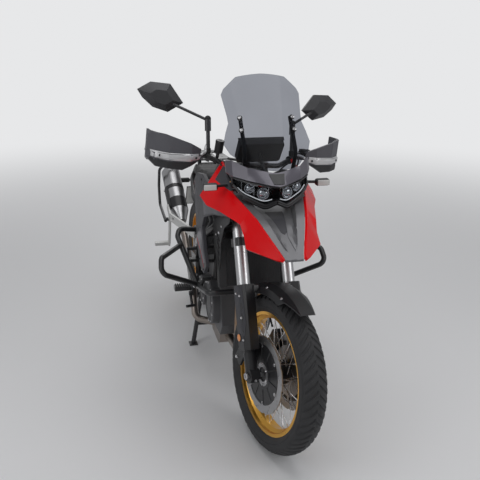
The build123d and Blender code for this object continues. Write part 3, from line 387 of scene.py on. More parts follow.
# ---------------------------------------------------------------- workshop
def smooth_line(name: str, points: Sequence[Point], radius: float, smoothness: int, roundness: int) -> bpy.types.Curve:
    """A round line near the points, which starts and ends at the outer ones.

    Args:
        name: its name.
        points: its control points.
        radius: its radius.
        smoothness: steps between its control points.
        roundness: resolution of its section.

    Returns:
        The curve.
    """
    curve = bpy.data.curves.new(name, "CURVE")
    curve.dimensions = "3D"
    spline = curve.splines.new("NURBS")
    spline.points.add(len(points) - 1)
    for target, point in zip(spline.points, points):
        target.co = (*point, 1.0)
    spline.order_u = 3
    spline.use_endpoint_u = True
    curve.resolution_u = smoothness
    curve.bevel_depth = radius
    curve.bevel_resolution = roundness
    curve.use_fill_caps = True
    return curve


class Shape:
    """A mesh under construction, in the drawing's millimetres."""

    def __init__(self) -> None:
        """Starts with nothing."""
        self.mesh = bmesh.new()

    @staticmethod
    def _aimed(start: Vector, along: Vector) -> Matrix:
        """Matrix that turns +z to a direction and moves the origin to a point."""
        return Matrix.Translation(start) @ along.to_track_quat("Z", "Y").to_matrix().to_4x4()

    def bar(self, start: Point, end: Point, radius: float, end_radius: Optional[float] = None,
            sides: int = 20) -> "Shape":
        """Adds a round bar, or a cone.

        Args:
            start: centre of the first end.
            end: centre of the second end.
            radius: radius at the first end.
            end_radius: radius at the second end, if it differs.
            sides: number of sides.

        Returns:
            The shape itself.
        """
        first, last = Vector(start), Vector(end)
        along = last - first
        matrix = self._aimed((first + last) / 2, along)
        tip = radius if end_radius is None else end_radius
        bmesh.ops.create_cone(self.mesh, cap_ends=True, segments=sides, radius1=radius, radius2=tip,
                              depth=along.length, matrix=matrix)
        return self

    def slab(self, centre: Point, size: Point, turn: Optional[Matrix] = None, bevel: float = 0.0) -> "Shape":
        """Adds a block with rounded edges.

        Args:
            centre: its centre.
            size: its size along its own axes.
            turn: its rotation.
            bevel: radius of its edges.

        Returns:
            The shape itself.
        """
        matrix = Matrix.Translation(Vector(centre))
        if turn is not None:
            matrix = matrix @ turn.to_4x4()
        made = bmesh.ops.create_cube(self.mesh, size=1.0, matrix=matrix @ Matrix.Diagonal((*size, 1)))
        if bevel > 0:
            edges = list({e for v in made["verts"] for e in v.link_edges})
            bmesh.ops.bevel(self.mesh, geom=edges, offset=bevel, segments=3, profile=0.5, affect="EDGES", material=-1)
        return self

    def lathe(self, profile: Sequence[tuple[float, float]], centre: Point, axis: Point, steps: int = 48,
              closed: bool = False) -> "Shape":
        """Adds a turned shape.

        Args:
            profile: (radius, distance along the axis) of each corner.
            centre: the point that the distances start from.
            axis: direction of the axis.
            steps: steps of the full turn.
            closed: whether the last corner joins the first.

        Returns:
            The shape itself.
        """
        own = bmesh.new()
        points = [own.verts.new((radius, 0, along)) for radius, along in profile]
        pairs = list(zip(points, points[1:] + points[:1])) if closed else list(zip(points, points[1:]))
        edges = [own.edges.new(pair) for pair in pairs]
        bmesh.ops.spin(own, geom=points + edges, cent=(0, 0, 0), axis=(0, 0, 1), angle=math.tau, steps=steps,
                       use_merge=True)
        bmesh.ops.remove_doubles(own, verts=own.verts, dist=0.001)
        bmesh.ops.recalc_face_normals(own, faces=own.faces)
        self._take(own, self._aimed(Vector(centre), Vector(axis)))
        return self

    def plate(self, outline: Sequence[Point], depth: Point, bevel: float = 0.0) -> "Shape":
        """Adds a flat outline pulled out by a vector.

        Args:
            outline: its corners in order, in one plane.
            depth: the vector it is pulled along.
            bevel: radius of its edges.

        Returns:
            The shape itself.
        """
        own = bmesh.new()
        face = own.faces.new([own.verts.new(Vector(corner)) for corner in outline])
        pulled = bmesh.ops.extrude_face_region(own, geom=[face])
        moved = [item for item in pulled["geom"] if isinstance(item, bmesh.types.BMVert)]
        bmesh.ops.translate(own, verts=moved, vec=Vector(depth))
        bmesh.ops.recalc_face_normals(own, faces=own.faces)
        if bevel > 0:
            bmesh.ops.bevel(own, geom=list(own.edges), offset=bevel, segments=2, profile=0.5, affect="EDGES",
                            material=-1)
        self._take(own, Matrix.Identity(4))
        return self

    def ball(self, centre: Point, radius: float, squash: Point = (1, 1, 1)) -> "Shape":
        """Adds a ball or an ellipsoid."""
        matrix = Matrix.Translation(Vector(centre)) @ Matrix.Diagonal((*squash, 1))
        bmesh.ops.create_uvsphere(self.mesh, u_segments=20, v_segments=12, radius=radius, matrix=matrix)
        return self

    def tube(self, points: Sequence[Point], radius: float, sides: int = 10) -> "Shape":
        """Adds a bent tube along a smooth line near the points.

        Args:
            points: control points of the line.
            radius: radius of the tube.
            sides: sides of the tube's section.

        Returns:
            The shape itself.
        """
        curve = smooth_line("line", points, radius, 6, max(0, (sides - 4) // 2))
        carrier = bpy.data.objects.new("line", curve)
        mesh = bpy.data.meshes.new_from_object(carrier)
        self.mesh.from_mesh(mesh)
        bpy.data.objects.remove(carrier)
        bpy.data.curves.remove(curve)
        bpy.data.meshes.remove(mesh)
        return self

    def screw(self, head: Point, out: Point, radius: float = 5.0, height: float = 3.0,
              socket: bool = True) -> "Shape":
        """Adds a button-head screw with a hexagon socket.

        Args:
            head: the point where the head sits.
            out: direction out of the surface.
            radius: radius of the head.
            height: height of the head.
            socket: whether it has a socket.

        Returns:
            The shape itself.
        """
        own = bmesh.new()
        bmesh.ops.create_cone(own, cap_ends=True, segments=18, radius1=radius, radius2=radius * 0.82, depth=height)
        top = max((face for face in own.faces if len(face.verts) > 4), key=lambda f: f.calc_center_median().z)
        if socket:
            bmesh.ops.inset_region(own, faces=[top], thickness=radius * 0.38)
            bmesh.ops.translate(own, verts=list(top.verts), vec=(0, 0, -height * 0.55))
        direction = Vector(out).normalized()
        self._take(own, self._aimed(Vector(head) + direction * height / 2, direction))
        return self

    def hexagon(self, head: Point, out: Point, radius: float = 8.0, height: float = 6.0) -> "Shape":
        """Adds a hexagon nut with its chamfer and the bolt's end."""
        direction = Vector(out).normalized()
        base = Vector(head)
        profile_end = base + direction * height * 0.75
        self.bar(base, profile_end, radius, sides=6)
        self.bar(profile_end, base + direction * height, radius * 0.98, radius * 0.84, sides=6)
        return self.bar(profile_end, base + direction * height * 1.25, radius * 0.5, sides=12)

    def _take(self, other: bmesh.types.BMesh, matrix: Matrix) -> None:
        """Moves another bmesh's shape into this one."""
        bmesh.ops.transform(other, matrix=matrix, verts=other.verts)
        store = bpy.data.meshes.new("store")
        other.to_mesh(store)
        other.free()
        self.mesh.from_mesh(store)
        bpy.data.meshes.remove(store)

    def add(self, other: "Shape", matrix: Optional[Matrix] = None) -> "Shape":
        """Adds a copy of another shape, moved by a matrix."""
        copy = other.mesh.copy()
        self._take(copy, matrix if matrix is not None else Matrix.Identity(4))
        return self

    def place(self, name: str, finish: Look, body: Body, slot: str, round_edges: float = 0.0,
              replaces: Sequence[str] = ()) -> bpy.types.Object:
        """Brings the shape to the part's frame as a finished object.

        Args:
            name: name of the piece.
            finish: its finish.
            body: the body it rides on.
            slot: the record's slot; not used.
            round_edges: radius of its edges, in millimetres.
            replaces: the CAD nodes it stands for.

        Returns:
            The object.
        """
        bmesh.ops.transform(self.mesh, matrix=DRAWING.matrix(body.steered), verts=self.mesh.verts)
        data = bpy.data.meshes.new(name)
        self.mesh.to_mesh(data)
        self.mesh.free()
        piece = bpy.data.objects.new(name, data)
        bpy.context.scene.collection.objects.link(piece)
        data.materials.append(finish.material())
        data.shade_smooth()
        data.set_sharp_from_angle(angle=SHARP_ANGLE)
        if round_edges > 0:
            bevel = piece.modifiers.new("edges", "BEVEL")
            bevel.width = round_edges / MM_PER_M
            bevel.segments = 2
            bevel.limit_method = "ANGLE"
            bevel.angle_limit = SHARP_ANGLE
            bevel.harden_normals = True
        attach(piece, body.value)
        if replaces:
            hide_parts(*replaces)
        LOG.info("%s: %d faces on %s", name, len(data.polygons), body.value)
        return piece


class Skin:
    """The surface of some objects, for panels and screws that lie on it, in the drawing's millimetres."""

    def __init__(self, nodes: dict[str, bpy.types.Object], *names: str, steered: bool = False) -> None:
        """Gathers the objects' faces.

        Args:
            nodes: the objects by name.
            names: those to gather.
            steered: whether they turn with the handlebar.
        """
        back = DRAWING.matrix(steered).inverted()
        corners: list[Vector] = []
        faces: list[tuple[int, ...]] = []
        for name in names:
            data = nodes[name].data
            start = len(corners)
            corners.extend(back @ vert.co for vert in data.vertices)
            faces.extend(tuple(start + index for index in face.vertices) for face in data.polygons)
        self.tree = BVHTree.FromPolygons(corners, faces)

    def meet(self, start: Point, along: Point, proud: float = 0.0) -> Optional[tuple[Vector, Vector]]:
        """Finds where a line from a point first meets the surface.

        Args:
            start: where the line starts.
            along: its direction.
            proud: how far in front of the surface the result lies.

        Returns:
            The point and the surface's outward direction there, or None.
        """
        direction = Vector(along).normalized()
        place, normal, _, _ = self.tree.ray_cast(Vector(start), direction)
        if place is None:
            return None
        if normal.dot(direction) > 0:
            normal = -normal
        return place - direction * proud, normal

    def panel(self, outline: Sequence[Point], along: Point, thickness: float = 1.6, pitch: float = 14.0,
              sunk: float = 0.6) -> Shape:
        """Makes a thin panel that follows the surface.

        Args:
            outline: its corners in a plane away from the surface, in order.
            along: the direction in which they are laid on, along one of the axes.
            thickness: how far it stands out.
            pitch: size of the grid that follows the surface.
            sunk: how far its back lies inside the surface.

        Returns:
            The panel as a shape.
        """
        shape = Shape()
        own = shape.mesh
        direction = Vector(along).normalized()
        face = own.faces.new([own.verts.new(Vector(corner)) for corner in outline])
        bmesh.ops.triangulate(own, faces=[face])
        for normal in (Vector((1, 0, 0)), Vector((0, 1, 0)), Vector((0, 0, 1))):
            if abs(normal.dot(direction)) > 0.5:
                continue
            values = [normal.dot(Vector(corner)) for corner in outline]
            at = math.ceil(min(values) / pitch) * pitch
            while at < max(values):
                everything = own.verts[:] + own.edges[:] + own.faces[:]
                bmesh.ops.bisect_plane(own, geom=everything, plane_co=normal * at, plane_no=normal)
                at += pitch
        lost = []
        for vert in own.verts:
            found = self.meet(vert.co, direction, -sunk)
            if found is None:
                lost.append(vert)
            else:
                vert.co = found[0]
        bmesh.ops.delete(own, geom=lost, context="VERTS")
        own.normal_update()
        if sum(face.normal.dot(direction) for face in own.faces) > 0:
            bmesh.ops.reverse_faces(own, faces=own.faces)
        own.normal_update()
        bmesh.ops.solidify(own, geom=own.faces[:], thickness=-(thickness + sunk))
        bmesh.ops.recalc_face_normals(own, faces=own.faces)
        return shape


# ---------------------------------------------------------------- the bike's finishes
TYRE = Finish("tyre_rubber", (0.030, 0.030, 0.032), roughness=0.72, texture=Texture.GRAIN, grain=700, depth=0.10,
              mottle=0.25, dust=0.012)
GOLD = Finish("gold_anodised", (0.86, 0.47, 0.09), metallic=1.0, roughness=0.30, mottle=0.06,
              texture=Texture.BRUSHED, grain=60, depth=0.03)
HUB = Finish("hub_black", (0.035, 0.035, 0.038), metallic=0.3, roughness=0.42, texture=Texture.CAST, grain=500,
             depth=0.10)
SPOKE = Finish("spoke_steel", (0.72, 0.73, 0.75), metallic=1.0, roughness=0.22, mottle=0.05)
DISC = Finish("disc_steel", (0.42, 0.42, 0.43), metallic=0.9, roughness=0.40, texture=Texture.BRUSHED, grain=260,
              depth=0.05, mottle=0.08)
CALIPER = Finish("caliper_black", (0.028, 0.028, 0.030), metallic=0.2, roughness=0.38, texture=Texture.CAST,
                 grain=600, depth=0.08)
ALUMINIUM = Finish("fork_aluminium", (0.66, 0.66, 0.67), metallic=1.0, roughness=0.30, texture=Texture.BRUSHED,
                   grain=90, depth=0.04, mottle=0.06)
BLACK_STEEL = Finish("black_steel", (0.022, 0.022, 0.024), roughness=0.34, texture=Texture.GRAIN, grain=420,
                     depth=0.05, coat=0.25)
FRAME_STEEL = Finish("frame_steel", (0.026, 0.026, 0.028), roughness=0.36, texture=Texture.GRAIN, grain=380,
                     depth=0.06, coat=0.2)
ENGINE = Finish("engine_alloy", (0.115, 0.115, 0.120), metallic=0.45, roughness=0.48, texture=Texture.CAST,
                grain=380, depth=0.16, mottle=0.16)
COVER = Finish("cover_alloy", (0.10, 0.10, 0.105), metallic=0.6, roughness=0.42, texture=Texture.CAST, grain=420,
               depth=0.12)
SILENCER = Finish("silencer_steel", (0.58, 0.58, 0.59), metallic=1.0, roughness=0.30, texture=Texture.BRUSHED,
                  grain=70, depth=0.05, mottle=0.08)
GREY = Finish("body_grey", (0.066, 0.066, 0.074), roughness=0.46, specular=0.22, texture=Texture.GRAIN,
              grain=900, depth=0.02, mottle=0.05)
PALE_GREY = Finish("panel_grey", (0.115, 0.115, 0.128), roughness=0.42, specular=0.25, mottle=0.05,
                   texture=Texture.GRAIN, grain=900, depth=0.02)
RED = Finish("wing_red", (0.78, 0.003, 0.006), roughness=0.18, specular=0.2, mottle=0.06)
SILVER = Finish("beak_silver", (0.185, 0.185, 0.195), metallic=0.4, roughness=0.32, specular=0.3, mottle=0.04)
TRIM = Finish("trim_black", (0.024, 0.024, 0.026), roughness=0.52, texture=Texture.GRAIN, grain=820, depth=0.10)
BROW = Finish("brow_grey", (0.125, 0.118, 0.142), metallic=0.4, roughness=0.32, coat=0.3, mottle=0.05)
MIRROR_BACK = Finish("mirror_back", (0.060, 0.060, 0.064), metallic=0.2, roughness=0.36, mottle=0.10,
                     texture=Texture.GRAIN, grain=1100, depth=0.03)
SATIN_BLACK = Finish("satin_black", (0.020, 0.020, 0.022), roughness=0.33, mottle=0.10, texture=Texture.GRAIN,
                     grain=1200, depth=0.02)
VINYL = Finish("seat_vinyl", (0.030, 0.029, 0.030), roughness=0.60, texture=Texture.LEATHER, grain=520, depth=0.10,
               mottle=0.18, dust=0.006)
VINYL_SIDE = Finish("seat_side_vinyl", (0.045, 0.044, 0.046), roughness=0.54, texture=Texture.GRAIN, grain=650,
                    depth=0.14, mottle=0.14)
THREAD = Finish("seat_thread", (0.16, 0.15, 0.15), roughness=0.8, mottle=0.2)
WHITE_ALLOY = Finish("alloy_white", (0.62, 0.62, 0.61), metallic=0.55, roughness=0.36, texture=Texture.CAST,
                     grain=520, depth=0.05, mottle=0.05)
BRIGHT = Finish("guard_silver", (0.64, 0.64, 0.65), metallic=0.35, roughness=0.34, coat=0.3, mottle=0.04)
RUBBER = Finish("rubber_black", (0.024, 0.024, 0.025), roughness=0.78, texture=Texture.GRAIN, grain=640,
                depth=0.16, mottle=0.2)
CHAIN = Finish("chain_steel", (0.30, 0.27, 0.22), metallic=0.9, roughness=0.38, mottle=0.2)
FASTENER = Finish("fastener_steel", (0.60, 0.60, 0.61), metallic=1.0, roughness=0.28, mottle=0.08)
DARK_FASTENER = Finish("fastener_black", (0.05, 0.05, 0.052), metallic=0.7, roughness=0.36)
REFLECTOR = Finish("reflector_silver", (0.80, 0.80, 0.82), metallic=1.0, roughness=0.10, mottle=0.03)
MIRROR_GLASS = Finish("mirror_glass", (0.85, 0.87, 0.90), metallic=1.0, roughness=0.03, spread=0.01, mottle=0.01)
PLATE = Finish("plate_white", (0.74, 0.74, 0.72), roughness=0.42, coat=0.3, texture=Texture.GRAIN, grain=300,
               depth=0.03, mottle=0.04)
AMBER = Finish("amber_lens", (0.80, 0.26, 0.03), roughness=0.18, coat=0.6, texture=Texture.LEATHER, grain=380,
               depth=0.25, mottle=0.08)
LAMP_RED = Finish("lamp_red", (0.42, 0.012, 0.014), roughness=0.14, coat=0.8, texture=Texture.LEATHER, grain=300,
                  depth=0.25, mottle=0.08)
# Near-black rough finish of the projector surrounds: painted shade for the dark inside of the headlight.
PAINTED_SHADE_BLACK = Finish("painted_shade_black", (0.006, 0.006, 0.006), roughness=0.85, texture=Texture.GRAIN, grain=300,
                   depth=0.1)
CORE = Finish("radiator_core", (0.05, 0.05, 0.052), metallic=0.5, roughness=0.5, texture=Texture.BRUSHED,
              grain=900, depth=0.4)
SPRING = Finish("spring_steel", (0.50, 0.51, 0.53), metallic=0.5, roughness=0.35, coat=0.4)
SCREEN = ClearSheet("screen_smoke", (0.60, 0.61, 0.64), strength=0.25)
LENS = ClearSheet("lens_clear", (0.84, 0.85, 0.86), strength=0.12)
SIGNAL_LENS = Finish("signal_lens", (0.62, 0.62, 0.60), roughness=0.16, coat=0.5, mottle=0.1)
DISPLAY_GLASS = Finish("display_glass", (0.010, 0.011, 0.013), roughness=0.06, coat=0.8, mottle=0.1)
LED = Glow("led_white", (0.90, 0.92, 0.96), 0.55)
SYMBOL = Finish("switch_marks", (0.55, 0.55, 0.55), roughness=0.5)


@dataclass(frozen=True)
class HeatedSteel(Look):
    """Exhaust steel, brown and blue where it runs hot, paler away from the engine."""

    name: str
    hot_end: tuple[float, float, float]
    reach: float = 0.45

    def _fill(self, nodes: bpy.types.Nodes, links: bpy.types.NodeLinks) -> None:
        """Fills the node tree with heat tints by the distance from the hot end.

        Args:
            nodes: the tree's nodes.
            links: the tree's links.
        """
        shader = nodes["Principled BSDF"]
        shader.inputs["Metallic"].default_value = 1.0
        place = nodes.new("ShaderNodeTexCoord").outputs["Object"]
        distance = nodes.new("ShaderNodeVectorMath")
        distance.operation = "DISTANCE"
        distance.inputs[1].default_value = DRAWING.matrix(False) @ Vector(self.hot_end)
        links.new(place, distance.inputs[0])
        patches = noise(nodes, links, place, 22.0, 5.0)
        shifted = nodes.new("ShaderNodeMath")
        shifted.operation = "MULTIPLY_ADD"
        shifted.inputs[1].default_value = 0.18
        links.new(patches, shifted.inputs[0])
        links.new(distance.outputs["Value"], shifted.inputs[2])
        scaled = nodes.new("ShaderNodeMapRange")
        scaled.inputs["From Max"].default_value = self.reach
        links.new(shifted.outputs["Value"], scaled.inputs["Value"])
        tints = nodes.new("ShaderNodeValToRGB")
        ramp = tints.color_ramp.elements
        ramp[0].position, ramp[0].color = 0.0, (0.16, 0.13, 0.16, 1)
        ramp[1].position, ramp[1].color = 1.0, (0.34, 0.30, 0.27, 1)
        for position, colour in ((0.25, (0.20, 0.12, 0.08, 1)), (0.55, (0.33, 0.20, 0.11, 1))):
            ramp.new(position).color = colour
        links.new(scaled.outputs["Result"], tints.inputs["Fac"])
        links.new(tints.outputs["Color"], shader.inputs["Base Color"])
        gloss = nodes.new("ShaderNodeMapRange")
        gloss.inputs["To Min"].default_value = 0.24
        gloss.inputs["To Max"].default_value = 0.46
        links.new(patches, gloss.inputs["Value"])
        links.new(gloss.outputs["Result"], shader.inputs["Roughness"])


HEADER = HeatedSteel("header_steel", (0, 430, 600))


@dataclass(frozen=True)
class CarriedNodes:
    """The finish of each CAD node, for those that stay and those that a piece is drawn from."""

    finishes: tuple[tuple[Look, tuple[str, ...]], ...] = (
        (TYRE, ("front_tyre", "rear_tyre")),
        (GOLD, ("front_rim", "rear_rim")),
        (HUB, ("front_hub", "rear_hub")),
        (SPOKE, ("front_spokes", "rear_spokes")),
        (DISC, ("front_brake_discs", "rear_brake_disc")),
        (CALIPER, ("front_calipers", "foot_levers")),
        (ALUMINIUM, ("fork_tubes", "front_axle", "rear_axle")),
        (SATIN_BLACK, ("fork_sliders",)),
        (BLACK_STEEL, ("handlebar", "crash_bars", "luggage_rails", "screen_bracket", "rear_rack")),
        (FRAME_STEEL, ("main_frame", "rear_subframe", "stand_brackets", "swingarm", "fork_clamps", "centre_stand",
                       "side_stand")),
        (ENGINE, ("engine",)),
        (HEADER, ("exhaust_pipes",)),
        (SILENCER, ("silencer",)),
        (GREY, ("fuel_tank", "side_panels")),
        (RED, ("wings",)),
        (SILVER, ("beak",)),
        (SATIN_BLACK, ("mirrors", "front_mudguard", "nose_cowl", "tail_panels")),
        (GREY, ("handguards",)),
        (TRIM, ("plate_holder", "front_signals", "rear_signals", "hand_controls", "instrument_display", "headlight",
                "shock_absorber")),
        (LENS, ("headlight_cover",)),
        (SCREEN, ("windscreen",)),
        (VINYL, ("rider_seat", "pillion_seat")),
        (WHITE_ALLOY, ("pillion_pegs",)),
        (BLACK_STEEL, ("rider_pegs",)),
        (RUBBER, ("grips",)),
        (CHAIN, ("drive_chain", "rear_sprocket")),
        (LAMP_RED, ("tail_lamp",)),
        (PLATE, ("number_plate",)),
        (CORE, ("radiator",)),
    )

    def dress(self, nodes: dict[str, bpy.types.Object]) -> None:
        """Gives every CAD node its finish.

        Args:
            nodes: the CAD nodes' objects.
        """
        done: set[str] = set()
        for finish, names in self.finishes:
            for name in names:
                data = nodes[name].data
                material = finish.material()
                if data.materials:
                    for index in range(len(data.materials)):
                        data.materials[index] = material
                else:
                    data.materials.append(material)
                done.add(name)
        for name in sorted(set(nodes) - done):
            LOG.warning("%s has no finish", name)
        LOG.info("%d nodes dressed", len(done))


# ---------------------------------------------------------------- the studio
@dataclass(frozen=True)
class Studio:
    """A pale floor, soft lamps and the camera."""

    lens: float = 51.05
    camera_at: tuple[float, float, float] = (-0.6932, -3.1235, 1.7155)
    tilt: float = 71.668
    turn: float = -13.01
    roll: float = 0.01034
    sensor: float = 36.0
    air_colour: tuple[float, float, float] = (0.80, 0.805, 0.815)
    floor_colour: tuple[float, float, float] = (0.80, 0.80, 0.81)
    floor_radius: float = 14.0
    floor_height: float = -0.0009
    fade_from: float = 1.6
    fade_to: float = 7.0

    def build(self) -> None:
        """Sets up the view, the world, the floor, the lamps and the camera."""
        bpy.context.scene.view_settings.view_transform = "Standard"
        self._world()
        self._floor()
        self._lamps()
        self._camera()

    def _world(self) -> None:
        """A plain pale world that the camera and bright parts see as near white."""
        world = bpy.data.worlds.new("studio_air")
        bpy.context.scene.world = world
        world.use_nodes = True
        nodes, links = world.node_tree.nodes, world.node_tree.links
        ground = nodes["Background"]
        ground.inputs["Color"].default_value = (0.92, 0.93, 0.95, 1)
        ground.inputs["Strength"].default_value = 0.34
        seen = nodes.new("ShaderNodeBackground")
        seen.inputs["Color"].default_value = (*self.air_colour, 1)
        seen.inputs["Strength"].default_value = 1.0
        path = nodes.new("ShaderNodeLightPath")
        either = nodes.new("ShaderNodeMath")
        either.operation = "MAXIMUM"
        links.new(path.outputs["Is Camera Ray"], either.inputs[0])
        links.new(path.outputs["Is Transmission Ray"], either.inputs[1])
        air = layered(nodes, links, either.outputs["Value"], ground.outputs["Background"],
                      seen.outputs["Background"])
        links.new(air, nodes["World Output"].inputs["Surface"])

    def _floor(self) -> None:
        """A wide plain floor under the wheels."""
        shape = bmesh.new()
        bmesh.ops.create_circle(shape, cap_ends=True, radius=self.floor_radius, segments=96)
        bmesh.ops.translate(shape, verts=shape.verts, vec=(0, 0, self.floor_height))
        data = bpy.data.meshes.new("floor")
        shape.to_mesh(data)
        shape.free()
        floor = bpy.data.objects.new("floor", data)
        bpy.context.scene.collection.objects.link(floor)
        material = bpy.data.materials.new("floor_paint")
        material.use_nodes = True
        nodes, links = material.node_tree.nodes, material.node_tree.links
        shader = nodes["Principled BSDF"]
        shader.inputs["Roughness"].default_value = 0.75
        place = nodes.new("ShaderNodeTexCoord").outputs["Object"]
        colour = blended(nodes, links, noise(nodes, links, place, 1.2), [c * 0.985 for c in self.floor_colour],
                         self.floor_colour)
        links.new(colour, shader.inputs["Base Color"])
        self._fade(nodes, links, shader, place)
        data.materials.append(material)

    def _fade(self, nodes: bpy.types.Nodes, links: bpy.types.NodeLinks, shader: bpy.types.ShaderNode,
              place: bpy.types.NodeSocket) -> None:
        """Fades the far floor into the background for the camera.

        Args:
            nodes: the floor material's nodes.
            links: its links.
            shader: its surface shader.
            place: the coordinates.
        """
        far = nodes.new("ShaderNodeVectorMath")
        far.operation = "LENGTH"
        links.new(place, far.inputs[0])
        share = nodes.new("ShaderNodeMapRange")
        share.interpolation_type = "SMOOTHSTEP"
        share.inputs["From Min"].default_value = self.fade_from
        share.inputs["From Max"].default_value = self.fade_to
        links.new(far.outputs["Value"], share.inputs["Value"])
        seen = nodes.new("ShaderNodeMath")
        seen.operation = "MULTIPLY"
        links.new(share.outputs["Result"], seen.inputs[0])
        links.new(nodes.new("ShaderNodeLightPath").outputs["Is Camera Ray"], seen.inputs[1])
        air = nodes.new("ShaderNodeEmission")
        air.inputs["Color"].default_value = (*self.air_colour, 1)
        surface = layered(nodes, links, seen.outputs["Value"], shader.outputs["BSDF"], air.outputs["Emission"])
        links.new(surface, nodes["Material Output"].inputs["Surface"])

    def _lamps(self) -> None:
        """Large soft lamps above, in front and behind."""
        for name, place, aim, size, power in (
            ("lamp_top", (0.2, -0.4, 3.8), (0, 0, 0.5), 3.6, 40.0),
            ("lamp_front_left", (2.6, -2.6, 2.4), (0, -0.2, 0.6), 2.2, 22.0),
            ("lamp_front_right", (-3.0, -1.6, 2.2), (0, 0, 0.5), 2.2, 18.0),
            ("lamp_back", (0.6, 3.4, 2.6), (0, 0.3, 0.6), 2.4, 16.0),
        ):
            lamp = bpy.data.lights.new(name, "AREA")
            lamp.shape = "DISK"
            lamp.size = size
            lamp.energy = power
            holder = bpy.data.objects.new(name, lamp)
            bpy.context.scene.collection.objects.link(holder)
            aimed = (Vector(aim) - Vector(place)).to_track_quat("-Z", "Y")
            holder.matrix_world = Matrix.Translation(Vector(place)) @ aimed.to_matrix().to_4x4()

    def _camera(self) -> None:
        """The camera at the bike's front right."""
        lens = bpy.data.cameras.new("camera")
        lens.lens = self.lens
        lens.sensor_width = self.sensor
        camera = bpy.data.objects.new("camera", lens)
        bpy.context.scene.collection.objects.link(camera)
        aim = Matrix.Rotation(math.radians(self.turn), 4, "Z") @ Matrix.Rotation(math.radians(self.tilt), 4, "X")
        camera.matrix_world = (Matrix.Translation(Vector(self.camera_at)) @ aim
                               @ Matrix.Rotation(self.roll, 4, "Z"))
        bpy.context.scene.camera = camera


# ---------------------------------------------------------------- sub-assemblies
class Assembly:
    """A group of pieces that is built around the CAD nodes."""

    def __init__(self, nodes: dict[str, bpy.types.Object]) -> None:
        """Keeps the CAD nodes."""
        self.nodes = nodes

    def build(self) -> None:
        """Builds the pieces, in each group."""
        raise NotImplementedError


# ---------------------------------------------------------------- bodywork with softened edges
@dataclass(frozen=True)
class Moulding:
    """A moulded or cast piece drawn again from its CAD node with rounded edges."""

    node: str
    finish: Finish
    body: Body
    slot: str
    radius: float = 3.0
    angle: float = 18.0
    segments: int = 3


MOULDINGS: tuple[Moulding, ...] = (
    Moulding("wings", RED, Body.FRAME, "wing_red", 3.0, 12),
    Moulding("beak", SILVER, Body.FRAME, "beak_silver", 3.0, 12),
    Moulding("nose_cowl", BROW, Body.FRAME, "body_grey", 3.0, 10),
    Moulding("fuel_tank", GREY, Body.FRAME, "body_grey", 12.0, 12, 4),
    Moulding("side_panels", GREY, Body.FRAME, "body_grey", 4.0, 18),
    Moulding("tail_panels", SATIN_BLACK, Body.FRAME, "trim_black", 2.5, 18),
    Moulding("mirrors", MIRROR_BACK, Body.STEERING, "trim_black", 5.0, 20, 4),
    Moulding("handguards", PALE_GREY, Body.STEERING, "body_grey", 2.2, 20),
    Moulding("hand_controls", TRIM, Body.STEERING, "trim_black", 2.0, 40, 2),
    Moulding("front_mudguard", SATIN_BLACK, Body.STEERING, "trim_black", 2.0, 24),
    Moulding("engine", ENGINE, Body.FRAME, "engine_alloy", 6.0, 30),
    Moulding("swingarm", FRAME_STEEL, Body.FRAME, "frame_steel", 5.0, 30),
    Moulding("pillion_pegs", WHITE_ALLOY, Body.FRAME, "alloy_white", 1.8, 30, 2),
    Moulding("rider_pegs", BLACK_STEEL, Body.FRAME, "black_steel", 1.5, 30, 2),
    Moulding("front_calipers", CALIPER, Body.STEERING, "caliper_black", 3.0, 35),
    Moulding("instrument_display", TRIM, Body.FRAME, "trim_black", 3.0, 40),
    Moulding("plate_holder", TRIM, Body.FRAME, "trim_black", 3.0, 30),
    Moulding("rear_rack", BLACK_STEEL, Body.FRAME, "black_steel", 1.6, 40, 2),
    Moulding("headlight_cover", LENS, Body.FRAME, "lens_clear", 1.2, 14, 2),
)


@dataclass(frozen=True)
class Painted:
    """A region of a moulded piece in a second finish, drawn in the side view."""

    node: str
    finish: Finish
    outlines: tuple[tuple[tuple[float, float], ...], ...]

    def holds(self, y: float, z: float) -> bool:
        """Whether a place in the side view lies in one of the outlines."""
        for outline in self.outlines:
            inside = False
            for (y0, z0), (y1, z1) in zip(outline, outline[1:] + outline[:1]):
                if (z0 > z) != (z1 > z) and y < y0 + (y1 - y0) * (z - z0) / (z1 - z0):
                    inside = not inside
            if inside:
                return True
        return False

    def cut(self, own: bmesh.types.BMesh) -> None:
        """Cuts the mesh along the outlines and marks the faces within them."""
        for outline in self.outlines:
            for (y0, z0), (y1, z1) in zip(outline, outline[1:] + outline[:1]):
                bmesh.ops.bisect_plane(own, geom=own.verts[:] + own.edges[:] + own.faces[:], dist=0.001,
                                       plane_co=(0, y0, z0), plane_no=(0, z1 - z0, y0 - y1))
        for face in own.faces:
            middle = face.calc_center_median()
            if self.holds(middle.y, middle.z):
                face.material_index = 1


PAINT: tuple[Painted, ...] = (
    Painted("wings", GREY, (((296, 1150), (288, 1078), (160, 1063), (120, 1064), (240, 1130)),)),
    Painted("side_panels", RED, (((764, 967), (853, 826), (726, 776), (722, 782), (843, 830), (757, 965)),
                                 ((640, 722), (560, 696), (462, 636), (466, 630), (562, 689), (642, 715)))),
)


